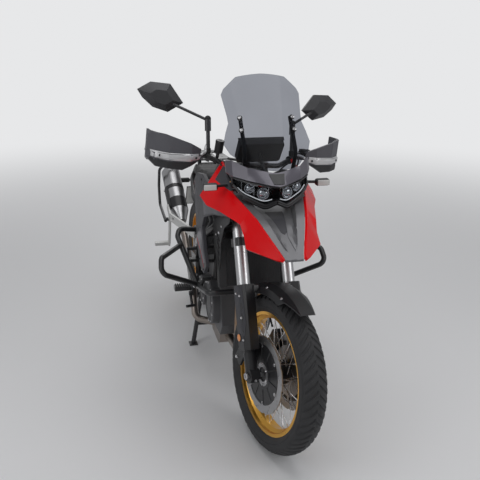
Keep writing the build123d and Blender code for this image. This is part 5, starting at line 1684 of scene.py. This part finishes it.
# ---------------------------------------------------------------- screen and cockpit
class ScreenAndCockpit(Assembly):
    """Screen screws, display glass, switches, bar clamps, and fittings of the hand guards and mirrors."""

    tilt = math.radians(37.7)
    bow = 300.0
    foot_y = 32.0
    foot_z = 1151.0

    def _screen_point(self, angle: float, up: float, inset: float) -> Vector:
        """Point on the screen at an angle round its bow and a distance up it.

        Args:
            angle: angle round the bow, in degrees.
            up: distance up the screen.
            inset: depth behind its front face.

        Returns:
            The point.
        """
        turn = math.radians(angle)
        depth = self.bow - (self.bow - inset) * math.cos(turn)
        return Vector(((self.bow - inset) * math.sin(turn),
                       self.foot_y + up * math.sin(self.tilt) + depth * math.cos(self.tilt),
                       self.foot_z + up * math.cos(self.tilt) - depth * math.sin(self.tilt)))

    def _screen_screws(self) -> None:
        """Four button screws with washers through the screen, and the grips behind it."""
        screws, washers, grips = Shape(), Shape(), Shape()
        for angle in (-20.5, 20.5):
            for up in (196, 250):
                front, back = self._screen_point(angle, up, 0), self._screen_point(angle, up, 8)
                out = (front - back).normalized()
                washers.lathe([(0, 0), (10.5, 0), (10.5, 1.2), (9.5, 2), (0, 2)], front, out, 32)
                screws.screw(front + out * 2, out, 8, 4.2)
                grips.bar(self._screen_point(angle, up, 4.2), self._screen_point(angle, up, 13), 8, sides=24)
        washers.place("screen_washers", RUBBER, Body.FRAME, "rubber_black")
        screws.place("screen_screws", FASTENER, Body.FRAME, "spoke_steel")
        grips.place("screen_grips", RUBBER, Body.FRAME, "rubber_black")

    def _display(self) -> None:
        """Glass and buttons on the instrument display, and its hood."""
        centre, out = Vector((0, 290, 1190)), Vector((0, 0.75, 0.66)).normalized()
        across = Vector((1, 0, 0))
        up = out.cross(across)
        if up.z < 0:
            up = -up
        turn = Matrix((across, up, out)).transposed()
        glass, bars, hood = Shape(), Shape(), Shape()
        glass.slab(centre + out * 14.6, (164, 98, 2.4), turn, bevel=1.0)
        for index in range(9):
            place = centre + out * 16.1 + across * (-56 + 14 * index) + up * (22 - 0.5 * abs(index - 4) ** 1.6)
            bars.slab(place, (9, 3 + 1.2 * index, 0.6), turn, bevel=0.2)
        for row, width in ((2, 70), (-12, 44), (-26, 96)):
            bars.slab(centre + out * 16.1 + up * row, (width, 4, 0.6), turn, bevel=0.2)
        hood.slab(centre + out * 16 + up * 54, (190, 4, 18), turn, bevel=1.6)
        for side in (-1, 1):
            hood.slab(centre + out * 16 + across * side * 91, (4, 108, 12), turn, bevel=1.6)
        glass.place("display_glass", DISPLAY_GLASS, Body.FRAME, "trim_black")
        bars.place("display_bars", SYMBOL, Body.FRAME, "plate_white")
        hood.place("display_hood", TRIM, Body.FRAME, "trim_black")

    @staticmethod
    def _bar_point(side: int, share: float, stretch: int = 4) -> Vector:
        """Point along a stretch of the handlebar: 4 is the grip stretch, 3 rises to it.

        Args:
            side: 1 for the left, -1 for the right.
            share: 0 at the inner end, 1 at the outer end.
            stretch: the stretch.

        Returns:
            The point.
        """
        knots = {3: ((120, 400, 1106), (262, 470, 1146)), 4: ((262, 470, 1146), (432, 512, 1142))}
        inner, outer = (Vector(knot) for knot in knots[stretch])
        point = inner.lerp(outer, share)
        return Vector((side * point.x, point.y, point.z))

    def _controls(self) -> None:
        """Switch housings, buttons, grip ribs and the screws of the bar-end weights."""
        housings, buttons, marks, ribs, caps = Shape(), Shape(), Shape(), Shape(), Shape()
        for side in (-1, 1):
            middle = self._bar_point(side, 0.17)
            along = (self._bar_point(side, 1) - self._bar_point(side, 0)).normalized()
            back = Vector((0, 1, 0.1)).normalized()
            turn = along.to_track_quat("X", "Z").to_matrix()
            housings.slab(middle + back * 14, (34, 26, 42), turn, bevel=4)
            for index, lift in enumerate((12, 0, -12)):
                buttons.slab(middle + back * 28 + Vector((0, 0, lift)) + along * (2 if index else -2),
                             (16, 4, 8), turn, bevel=1.6)
            marks.slab(middle + back * 30.4 + Vector((0, 0, 12)) - along * 2, (7, 0.6, 1.6), turn, bevel=0.2)
            marks.slab(middle + back * 30.4 + along * 2, (1.6, 0.6, 5), turn, bevel=0.2)
            for index in range(15):
                share = 0.335 + 0.038 * index
                centre = self._bar_point(side, share)
                ribs.lathe([(16.8, -1.4), (18.4, -0.9), (18.4, 0.9), (16.8, 1.4)], centre, along, 28, closed=True)
            end = self._bar_point(side, 1) + along * 17.2
            caps.screw(end, along, 6, 3)
            flange = self._bar_point(side, 0.30)
            ribs.lathe([(16.5, -2), (23, -2), (24, 0), (23, 2), (16.5, 2)], flange, along, 32, closed=True)
        housings.place("switch_housings", TRIM, Body.STEERING, "trim_black")
        buttons.place("switch_buttons", RUBBER, Body.STEERING, "rubber_black")
        marks.place("switch_signs", SYMBOL, Body.STEERING, "plate_white")
        ribs.place("grip_ribs", RUBBER, Body.STEERING, "rubber_black")
        caps.place("bar_end_screws", FASTENER, Body.STEERING, "spoke_steel")

    def _risers(self) -> None:
        """Bolts on the handlebar's clamps, the ignition lock and the reservoir's lid."""
        bolts, lock, lid = Shape(), Shape(), Shape()
        for side in (-1, 1):
            for x in (-9, 9):
                for y in (387, 413):
                    bolts.screw((side * 44 + x, y, 1122), (0, 0, 1), 4.6, 4)
        top = DRAWING.on_axis(1026, 30, 0)
        lock.lathe([(0, 0), (19, 0), (19, 12), (17, 16), (12, 17), (11, 14), (0, 14)], top, DRAWING.up, 32)
        neck = self._bar_point(-1, 0.33, 3)
        start, end = neck + Vector((0, -12, 36)), neck + Vector((0, -20, 82))
        out = (end - start).normalized()
        lid.lathe([(0, 0), (18.6, -4), (18.6, 4), (17, 6), (8, 6), (7, 4.5), (0, 4.5)], end, out, 36)
        bolts.place("bar_clamp_bolts", FASTENER, Body.STEERING, "spoke_steel")
        lock.place("ignition_lock", TRIM, Body.STEERING, "trim_black")
        lid.place("reservoir_lid", BLACK_STEEL, Body.STEERING, "black_steel")

    def _guards(self) -> None:
        """Silver bands, dark lips and straps of the hand guards, and their screws."""
        skin = Skin(self.nodes, "handguards", steered=True)
        for side, name in SIDES:
            band = [(252, 1150), (300, 1148), (390, 1148), (446, 1152), (446, 1128), (390, 1120), (300, 1120),
                    (256, 1130)]
            piece = skin.panel([(side * x, CLEAR_AHEAD, z) for x, z in band], (0, 1, 0), thickness=2.2, pitch=12)
            piece.place(f"guard_band_{name}", BRIGHT, Body.STEERING, "alloy_white", round_edges=0.5)
            lip = [(268, 1118), (300, 1116), (390, 1114), (446, 1120), (448, 1112), (430, 1090), (332, 1084)]
            piece = skin.panel([(side * x, CLEAR_AHEAD, z) for x, z in lip], (0, 1, 0), thickness=1.4, pitch=12)
            piece.place(f"guard_lip_{name}", TRIM, Body.STEERING, "trim_black", round_edges=0.4)
            strap = Shape()
            inner = self._bar_point(side, 0.66, 3)
            strap.tube([(side * 254, 398, 1138), (side * 240, 404, 1150), inner + Vector((0, -14, 16)),
                        inner + Vector((0, -6, 34)), inner + Vector((side * -10, 6, 44))], 6.2, 12)
            strap.place(f"guard_strap_{name}", BRIGHT, Body.STEERING, "alloy_white")
        screws = Shape()
        for side in (-1, 1):
            for x, z in ((276, 1134), (420, 1136)):
                found = skin.meet((side * x, CLEAR_AHEAD, z), (0, 1, 0))
                if found:
                    screws.screw(found[0] + Vector((0, -2.2, 0)), (0, -1, 0), 5.4, 2.4)
        screws.place("guard_band_screws", DARK_FASTENER, Body.STEERING, "trim_black")

    def _mirror_glass(self) -> None:
        """Glass in the rear face of each mirror, in a thin black rim."""
        rows = [(95, 24), (44, 57), (-36, 55), (-94, -16), (-33, -56), (30, -40), (73, -6)]
        glass, rims = Shape(), Shape()
        for side in (-1, 1):
            ahead = Vector((side * 0.12, -1, 0.06)).normalized()
            across = Vector((1, side * 0.12, 0)).normalized()
            up = ahead.cross(across)
            if up.z < 0:
                up = -up
            centre = Vector((side * 384, 566, 1350))
            outline = [centre + across * side * x * 0.90 + up * z * 0.88 - ahead * 0.2 for x, z in rows]
            glass.plate(outline, -ahead * 1.4, bevel=0.4)
            rim = [centre + across * side * x * 0.975 + up * z * 0.97 - ahead * 0.1 for x, z in rows]
            rims.plate(rim, -ahead * 0.8, bevel=0.3)
        glass.place("mirror_glasses", MIRROR_GLASS, Body.STEERING, "disc_steel")
        rims.place("mirror_rims", TRIM, Body.STEERING, "trim_black")

    def _joints(self) -> None:
        """Rubber boots on the mirrors' posts."""
        boots = Shape()
        for side in (-1, 1):
            root = self._bar_point(side, 0.56, 3) + Vector((0, -2, 19))
            top = Vector((side * 203, 468, 1284))
            along = (top - root).normalized()
            boots.lathe([(8.2, 0), (11, 0), (12, 3), (10.4, 6), (12, 9), (10.4, 12), (12, 15), (10, 19), (8.2, 19)],
                        root, along, 28, closed=True)
            boots.ball(top, 13.4)
        boots.place("mirror_boots", RUBBER, Body.STEERING, "rubber_black")

    def build(self) -> None:
        """Builds the pieces."""
        self._screen_screws()
        self._display()
        self._controls()
        self._risers()
        self._guards()
        self._mirror_glass()
        self._joints()


# ---------------------------------------------------------------- seats
@dataclass(frozen=True)
class SeatPad:
    """One seat and how it is padded."""

    node: str
    shrink: float
    cap: float
    seam: tuple[tuple[float, float, float], ...]
    channels: tuple[float, ...]


class Seats(Assembly):
    """Both seats as padded pieces with piping, stitching and a grained side cover."""

    pads = (
        SeatPad("rider_seat", 5.0, 7.0, ((890, 84, 855), (960, 118, 838), (1060, 132, 836), (1150, 122, 856),
                                         (1168, 108, 868)), (1010.0, 1100.0)),
        SeatPad("pillion_seat", 4.5, 6.0, ((1186, 92, 890), (1240, 102, 896), (1340, 106, 899), (1420, 86, 898)),
                (1270.0, 1350.0)),
    )
    voxel = 0.006
    pressure = 4.0
    frames = 20
    channel_half_width = 0.010
    channel_depth = 0.0022
    channel_bend = 0.18

    def _pad(self, pad: SeatPad) -> bpy.types.Object:
        """Builds one padded seat.

        Args:
            pad: the seat.

        Returns:
            The seat's object.
        """
        own = bmesh.new()
        own.from_mesh(self.nodes[pad.node].data)
        bmesh.ops.remove_doubles(own, verts=own.verts, dist=0.00001)
        bmesh.ops.recalc_face_normals(own, faces=own.faces)
        data = bpy.data.meshes.new(f"{pad.node}_padded")
        own.to_mesh(data)
        own.free()
        piece = bpy.data.objects.new(f"{pad.node}_padded", data)
        bpy.context.scene.collection.objects.link(piece)
        self._applied(piece, "REMESH", {"mode": "VOXEL", "voxel_size": self.voxel})
        before = self._shrunk(piece, pad.shrink / MM_PER_M)
        self._puffed(piece)
        self._capped(piece, before, pad.cap / MM_PER_M)
        self._channels(piece, pad)
        self._applied(piece, "SUBSURF", {"levels": 1, "render_levels": 1})
        self._dressed(piece)
        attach(piece, Body.FRAME.value)
        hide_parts(pad.node)
        LOG.info("%s: %d faces, padded", piece.name, len(piece.data.polygons))
        return piece

    @staticmethod
    def _kept(piece: bpy.types.Object) -> None:
        """Makes what the modifiers give the object's own mesh."""
        graph = bpy.context.evaluated_depsgraph_get()
        made = bpy.data.meshes.new_from_object(piece.evaluated_get(graph))
        piece.modifiers.clear()
        old = piece.data
        piece.data = made
        bpy.data.meshes.remove(old)

    def _applied(self, piece: bpy.types.Object, kind: str, settings: dict[str, object]) -> None:
        """Adds a modifier and applies it.

        Args:
            piece: the object.
            kind: the modifier's type.
            settings: its settings.
        """
        modifier = piece.modifiers.new("step", kind)
        for key, value in settings.items():
            setattr(modifier, key, value)
        self._kept(piece)

    @staticmethod
    def _shrunk(piece: bpy.types.Object, distance: float) -> list[Vector]:
        """Moves the surface inwards by a distance and returns the new places."""
        for vert, normal in zip(piece.data.vertices, [v.normal.copy() for v in piece.data.vertices]):
            vert.co -= normal * distance
        return [vert.co.copy() for vert in piece.data.vertices]

    def _puffed(self, piece: bpy.types.Object) -> None:
        """Blows the pad up with a short cloth simulation."""
        cloth = piece.modifiers.new("foam", "CLOTH")
        cloth.settings.use_pressure = True
        cloth.settings.uniform_pressure_force = self.pressure
        cloth.settings.effector_weights.gravity = 0.0
        cloth.settings.quality = 5
        cloth.point_cache.frame_start = 1
        cloth.point_cache.frame_end = self.frames
        for number in range(1, self.frames + 1):
            bpy.context.scene.frame_set(number)
        self._kept(piece)
        bpy.context.scene.frame_set(1)

    @staticmethod
    def _capped(piece: bpy.types.Object, before: list[Vector], cap: float) -> None:
        """Limits how far each point has moved and smooths the result.

        Args:
            piece: the pad.
            before: the places before.
            cap: the furthest move.
        """
        for vert, start in zip(piece.data.vertices, before):
            move = vert.co - start
            if move.length > cap:
                vert.co = start + move.normalized() * cap
        own = bmesh.new()
        own.from_mesh(piece.data)
        for _ in range(3):
            bmesh.ops.smooth_vert(own, verts=own.verts, factor=0.5, use_axis_x=True, use_axis_y=True,
                                  use_axis_z=True)
        own.to_mesh(piece.data)
        own.free()

    def _channels(self, piece: bpy.types.Object, pad: SeatPad) -> None:
        """Presses sewn channels across the top.

        Args:
            piece: the pad.
            pad: where its channels are.
        """
        matrix = DRAWING.matrix(False)
        lines = [(matrix @ Vector((0, y, 0))).y for y in pad.channels]
        for vert in piece.data.vertices:
            if vert.normal.z < 0.4:
                continue
            for line in lines:
                away = abs(vert.co.y - line - self.channel_bend * abs(vert.co.x) ** 1.5)
                if away < self.channel_half_width:
                    vert.co.z -= self.channel_depth * (1 - away / self.channel_half_width) ** 2

    @staticmethod
    def _dressed(piece: bpy.types.Object) -> None:
        """Gives the top the smooth vinyl and the sides the grained one."""
        piece.data.materials.clear()
        piece.data.materials.append(VINYL.material())
        piece.data.materials.append(VINYL_SIDE.material())
        for face in piece.data.polygons:
            face.material_index = 0 if face.normal.z > 0.55 else 1
            face.use_smooth = True

    def _piping(self, pad: SeatPad, piece: bpy.types.Object) -> None:
        """Piping along the top's edge, and stitches beside it and along the channels.

        Args:
            pad: the seat.
            piece: its padded object.
        """
        skin = Skin({pad.node: piece}, pad.node)
        piping, stitches = Shape(), Shape()
        for side in (-1, 1):
            line = []
            for (y0, x0, z0), (y1, x1, z1) in zip(pad.seam, pad.seam[1:]):
                for step in range(5):
                    share = step / 5
                    aim = Vector((0, y0 + (y1 - y0) * share, z0 + (z1 - z0) * share - 12))
                    out = Vector((side * (x0 + (x1 - x0) * share), 0, 12)).normalized()
                    found = skin.meet(aim + out * 260, -out)
                    if found:
                        line.append(found[0])
            if len(line) > 3:
                piping.tube(line, 1.9, 8)
            for first, second in zip(line, line[1:]):
                for share in (0.15, 0.5, 0.85):
                    place = first.lerp(second, share) + Vector((-side * 7, 0, 1.4))
                    found = skin.meet(place + Vector((0, 0, 40)), (0, 0, -1))
                    if found:
                        along = (second - first).normalized()
                        stitches.bar(found[0] - along * 1.8 + found[1] * 0.3, found[0] + along * 1.8 + found[1] * 0.3,
                                     0.7, sides=6)
        for y in pad.channels:
            for index in range(-14, 15):
                x = index * 6.0
                bend = self.channel_bend * abs(x / MM_PER_M) ** 1.5 * MM_PER_M
                found = skin.meet((x, y + bend, 1100), (0, 0, -1))
                if found and found[1].z > 0.6:
                    stitches.bar(found[0] + Vector((-1.9, 0, 0.4)), found[0] + Vector((1.9, 0, 0.4)), 0.7, sides=6)
        piping.place(f"{pad.node}_piping", VINYL, Body.FRAME, "seat_vinyl")
        stitches.place(f"{pad.node}_stitches", THREAD, Body.FRAME, "seat_vinyl")

    def build(self) -> None:
        """Builds both seats."""
        for pad in self.pads:
            self._piping(pad, self._pad(pad))


# ---------------------------------------------------------------- engine, exhaust and running gear
class DriveChain(Assembly):
    """The chain, link by link."""

    side = 88.0
    front = Vector((side, 830.0, 400.0))
    rear = Vector((side, REAR.axle_y, REAR.axle_z))
    front_radius = 36.0
    rear_radius = 108.0
    pitch = 15.875
    pin_reach = Vector((7.4, 0, 0))

    def _path(self) -> list[Vector]:
        """The chain's line round both sprockets."""
        span = self.rear - self.front
        heading = math.atan2(span.z, span.y)
        lean = math.asin((self.rear_radius - self.front_radius) / span.length)
        top, low = heading + math.pi / 2 + lean, heading - math.pi / 2 - lean
        points: list[Vector] = []
        for centre, radius, first, last, steps in ((self.rear, self.rear_radius, top, low, 40),
                                                   (self.front, self.front_radius, low, top - math.tau, 24)):
            for step in range(steps + 1):
                angle = first + (last - first) * step / steps
                points.append(centre + Vector((0, radius * math.cos(angle), radius * math.sin(angle))))
        return points + [points[0]]

    def build(self) -> None:
        """Builds the links at an even pitch along the line."""
        line = self._path()
        total = sum((b - a).length for a, b in zip(line, line[1:]))
        count = 2 * round(total / self.pitch / 2)
        knots, spot, walked = [], 0, 0.0
        for index in range(count):
            reach = total * index / count
            while walked + (line[spot + 1] - line[spot]).length < reach:
                walked += (line[spot + 1] - line[spot]).length
                spot += 1
            step = line[spot + 1] - line[spot]
            knots.append(line[spot] + step * ((reach - walked) / step.length))
        links = Shape()
        for index, (first, second) in enumerate(zip(knots, knots[1:] + knots[:1])):
            along = (second - first).normalized()
            turn = Matrix((Vector((1, 0, 0)), along, Vector((1, 0, 0)).cross(along))).transposed()
            out = 6.2 if index % 2 else 4.4
            for side in (-1, 1):
                links.slab(first.lerp(second, 0.5) + Vector((side * out, 0, 0)), (1.7, 22.6, 11.5), turn)
            links.bar(first - self.pin_reach, first + self.pin_reach, 3.4, sides=6)
        links.place("chain_links", CHAIN, Body.FRAME, "chain_steel", replaces=("drive_chain",))


class EngineAndExhaust(Assembly):
    """Cover rims and screws, cylinder fins, silencer strap and shield, radiator core, frame bolts."""

    covers = ((-1, 154.0, 610.0, 400.0, 108.0, 10), (-1, 164.0, 760.0, 400.0, 76.0, 8),
              (1, 152.0, 620.0, 392.0, 96.0, 9))

    def _covers(self) -> None:
        """Rims, ribs and screws on the round side covers, and the oil filler cap."""
        rims, screws, caps = Shape(), Shape(), Shape()
        for side, reach, y, z, radius, count in self.covers:
            out = Vector((side, 0, 0))
            centre = Vector((side * reach, y, z))
            rims.lathe([(radius - 16, -2), (radius - 16, 0), (radius - 14, 2.6), (radius - 7, 2.6), (radius - 4, 0),
                        (radius - 4, -2)], centre, out, 72, closed=True)
            rims.lathe([(0, -1), (radius * 0.52, -1), (radius * 0.52, 1.6), (radius * 0.48, 3), (radius * 0.2, 3.6),
                        (0, 3.6)], centre, out, 64)
            for index in range(count):
                angle = math.tau * index / count + 0.3
                place = centre + Vector((0, (radius - 10.5) * math.cos(angle), (radius - 10.5) * math.sin(angle)))
                screws.screw(place + out * 2.6, out, 5.2, 3.6)
            for index in range(5):
                angle = math.tau * index / 5 + 0.6
                spoke = Vector((0, math.cos(angle), math.sin(angle)))
                rims.bar(centre + spoke * radius * 0.5, centre + spoke * (radius - 15), 2.6, sides=8)
        caps.lathe([(0, 0), (17, 0), (17, 5), (14, 8), (6, 8), (6, 12), (0, 12)], (-118, 822, 486), (-1, 0, 0), 32)
        rims.place("engine_cover_rims", COVER, Body.FRAME, "engine_alloy", round_edges=0.4)
        screws.place("engine_cover_screws", FASTENER, Body.FRAME, "spoke_steel")
        caps.place("oil_filler_cap", TRIM, Body.FRAME, "trim_black")

    def _fins(self) -> None:
        """Ribs and head bolts on the cylinders' sides."""
        ribs, bolts = Shape(), Shape()
        turn = Matrix.Rotation(math.atan2(40, 212), 3, "X")
        low_front, low_back = Vector((0, 478, 520)), Vector((0, 690, 560))
        high_front, high_back = Vector((0, 430, 752)), Vector((0, 640, 790))
        for side in (-1, 1):
            for index in range(8):
                share = 0.12 + 0.088 * index
                first, second = low_front.lerp(high_front, share), low_back.lerp(high_back, share)
                ribs.slab(first.lerp(second, 0.5) + Vector((side * 105, 0, 0)), (5, 184, 4.2), turn, bevel=0.8)
            for share in (0.08, 0.36, 0.64, 0.92):
                for rise in (0.86, 0.96):
                    place = low_front.lerp(high_front, rise).lerp(low_back.lerp(high_back, rise), share)
                    bolts.hexagon(place + Vector((side * 104, 0, 0)), (side, 0, 0), 6, 4)
        ribs.place("cylinder_ribs", ENGINE, Body.FRAME, "engine_alloy")
        bolts.place("cylinder_bolts", FASTENER, Body.FRAME, "spoke_steel")

    def _silencer(self) -> None:
        """Strap, clamp, lower sleeve, side heat shield and outlet ring of the silencer."""
        low, high = Vector((-196, 1226, 620)), Vector((-214, 1530, 834))
        along = (high - low).normalized()
        strap_at = low + along * (high - low).length * 0.62
        strap, shield, ring, clamp = Shape(), Shape(), Shape(), Shape()
        strap.lathe([(51.6, -13), (53.6, -12), (53.6, 12), (51.6, 13)], strap_at, along, 64, closed=True)
        clamp.slab(strap_at + Vector((-52, 0, 0)), (8, 16, 12), along.to_track_quat("Y", "Z").to_matrix(), bevel=1.6)
        clamp.hexagon(strap_at + Vector((-56, 0, 0)), (-1, 0, 0), 6, 5)
        shield.lathe([(40, 44), (52.4, 78), (52.9, 150), (51.6, 150), (51.2, 80), (39, 46)], low, along, 64,
                     closed=True)
        ring.lathe([(20.5, -4), (34.2, -1), (35.2, 1.2), (30, 2.2), (22, 1.4), (20.5, -1)], high, along, 48,
                   closed=True)
        skin = Skin(self.nodes, "silencer")
        across = along.cross(Vector((1, 0, 0))).normalized()
        outline = [low + along * reach + across * wide + Vector((-400, 0, 0))
                   for reach, wide in ((84, -30), (240, -34), (240, 34), (84, 30))]
        guard = skin.panel(outline, (1, 0, 0), thickness=5.0, pitch=16)
        guard.place("silencer_heat_shield", SATIN_BLACK, Body.FRAME, "trim_black", round_edges=1.0)
        shield.place("silencer_lower_sleeve", SATIN_BLACK, Body.FRAME, "trim_black")
        strap.place("silencer_strap", BLACK_STEEL, Body.FRAME, "black_steel")
        clamp.place("silencer_clamp", FASTENER, Body.FRAME, "spoke_steel", round_edges=0.4)
        ring.place("silencer_outlet_ring", BLACK_STEEL, Body.FRAME, "black_steel")

    def _radiator(self) -> None:
        """Tubes and fins of the radiator's core, and its cap."""
        out = Vector((0, -0.97, 0.24)).normalized()
        up = Vector((0, 0.24, 0.97)).normalized()
        turn = Matrix((Vector((1, 0, 0)), -out, up)).transposed()
        face = Vector((0, 372, 684)) + out * 17.4
        core, cap = Shape(), Shape()
        for index in range(31):
            core.slab(face + Vector((-120 + 8 * index, 0, 0)), (1.8, 2.4, 196), turn)
        for index in range(13):
            core.slab(face + up * (-90 + 15 * index), (244, 1.6, 1.2), turn)
        cap.lathe([(0, 0), (18, 0), (18, 5), (13, 8), (0, 8)], Vector((142, 372, 684)) + up * 108, up, 32)
        core.place("radiator_fins", CORE, Body.FRAME, "trim_black")
        cap.place("radiator_cap", BLACK_STEEL, Body.FRAME, "black_steel")

    def _frame_bolts(self) -> None:
        """Bolts at the frame's joints, on both sides."""
        skin = Skin(self.nodes, "main_frame", "swingarm", "stand_brackets", "crash_bars", "rear_subframe")
        bolts = Shape()
        for side in (-1, 1):
            for y, z in ((965, 405), (470, 700), (560, 560), (690, 640), (860, 540), (905, 300), (980, 540),
                         (590, 494), (178, 856), (1200, 700), (1420, 820), (985, 285)):
                found = skin.meet((side * CLEAR_SIDE, y, z), (-side, 0, 0))
                if found:
                    bolts.hexagon(found[0], found[1], 8.5, 5)
        bolts.place("frame_bolts", FASTENER, Body.FRAME, "spoke_steel")

    def build(self) -> None:
        """Builds the pieces."""
        self._covers()
        self._fins()
        self._silencer()
        self._radiator()
        self._frame_bolts()


class ShockAndAxle(Assembly):
    """Shock spring, rear axle nuts and adjusters, peg rubbers."""

    coil_turns = 7.5
    coil_steps = 14
    coil_radius = 27

    def build(self) -> None:
        """Builds the pieces."""
        spring, nuts, pads = Shape(), Shape(), Shape()
        top, foot = Vector((0, 985, 662)), Vector((0, 1060, 430.2))
        along = (foot - top).normalized()
        across = along.cross(Vector((1, 0, 0))).normalized()
        steps = self.coil_turns * self.coil_steps
        start, reach = 62, (foot - top).length - 108
        coil = []
        for index in range(int(steps) + 1):
            angle = math.tau * index / self.coil_steps
            coil.append(top + along * (start + reach * index / steps) + Vector((1, 0, 0)) * self.coil_radius *
                        math.cos(angle) + across * self.coil_radius * math.sin(angle))
        spring.tube(coil, 5.4, 10)
        spring.place("shock_spring", SPRING, Body.FRAME, "frame_steel")
        for side in (-1, 1):
            nuts.hexagon((side * 121, REAR.axle_y, REAR.axle_z), (side, 0, 0), 14, 9)
            nuts.slab((side * 119.4, REAR.axle_y, REAR.axle_z), (2.6, 64, 34), bevel=1.0)
            nuts.screw((side * 108, REAR.axle_y + 46, REAR.axle_z), (0, 1, 0), 5, 6)
            for index in range(7):
                pads.slab((side * (222 + 11 * index), 810, 413.4), (5.4, 42, 4), bevel=0.8)
        nuts.place("rear_axle_nuts", FASTENER, Body.FRAME, "spoke_steel", round_edges=0.3)
        pads.place("rider_peg_rubbers", RUBBER, Body.FRAME, "rubber_black")


class TailAndSignals(Assembly):
    """Lamp lenses, plate frame and screws, signal lenses."""

    def _signals(self) -> None:
        """Clear front lenses with amber bulbs, amber rear lenses."""
        front, bulbs, rear = Shape(), Shape(), Shape()
        for side in (-1, 1):
            front.slab((side * 231, 146.5, 1080), (50, 6, 22), bevel=2.4)
            bulbs.ball((side * 232, 149, 1080), 7, (1.5, 0.5, 1))
            rear.slab((side * 120, 1605.5, 770), (50, 6, 22), bevel=2.4)
        front.place("front_signal_lenses", SIGNAL_LENS, Body.FRAME, "lens_clear", round_edges=0.6)
        bulbs.place("front_signal_bulbs", AMBER, Body.FRAME, "lens_clear")
        rear.place("rear_signal_lenses", AMBER, Body.FRAME, "lens_clear", round_edges=0.6)

    def _lamp_and_plate(self) -> None:
        """Ribbed tail lamp lens, plate frame, its screws and a lit red strip."""
        ribs, frame, screws, glow = Shape(), Shape(), Shape(), Shape()
        for index in range(13):
            ribs.slab((-39 + 6.5 * index, 1584, 856), (1.4, 2.4, 22))
        glow.slab((0, 1582.6, 862), (82, 2.6, 5), bevel=0.6)
        out = Vector((0, 0.868, 0.496)).normalized()
        up = Vector((0, -0.496, 0.868)).normalized()
        turn = Matrix((Vector((1, 0, 0)), -out, up)).transposed()
        centre = Vector((0, 1760.3, 630.2))
        for side in (-1, 1):
            frame.slab(centre + out * 1.6 + up * side * 73, (182, 3.4, 5), turn, bevel=0.8)
            frame.slab(centre + out * 1.6 + Vector((side * 88, 0, 0)), (5, 3.4, 150), turn, bevel=0.8)
            screws.screw(centre + out * 1.4 + Vector((side * 55, 0, 0)) + up * 56, out, 5, 2.4)
        ribs.place("tail_lamp_ribs", LAMP_RED, Body.FRAME, "lamp_red")
        glow.place("tail_lamp_strip", Glow("lamp_strip_red", (0.9, 0.02, 0.02), 0.5), Body.FRAME, "lamp_red")
        frame.place("plate_frame", TRIM, Body.FRAME, "trim_black")
        screws.place("plate_screws", FASTENER, Body.FRAME, "spoke_steel")

    def build(self) -> None:
        """Builds the pieces."""
        self._signals()
        self._lamp_and_plate()


ASSEMBLIES: tuple[type[Assembly], ...] = (
    MouldedBodywork, Tyres, WheelFittings, ForkFittings, Headlight, NoseAndWings, ShroudPanels, TankFittings,
    ScreenAndCockpit, Seats, DriveChain, EngineAndExhaust, ShockAndAxle, TailAndSignals,
)


# ---------------------------------------------------------------- all together
def corners(pair: tuple[Vector, Vector]) -> list[list[float]]:
    """A box's two corners as plain lists."""
    return [[float(value) for value in corner] for corner in pair]


def main() -> None:
    """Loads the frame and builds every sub-assembly."""
    logging.basicConfig(level=logging.INFO, format="%(message)s")
    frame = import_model()
    nodes = frame["nodes"]
    Studio().build()
    CarriedNodes().dress(nodes)
    for assembly in ASSEMBLIES:
        LOG.info("building %s", assembly.__name__)
        assembly(nodes).build()


if __name__ == "__main__":
    main()
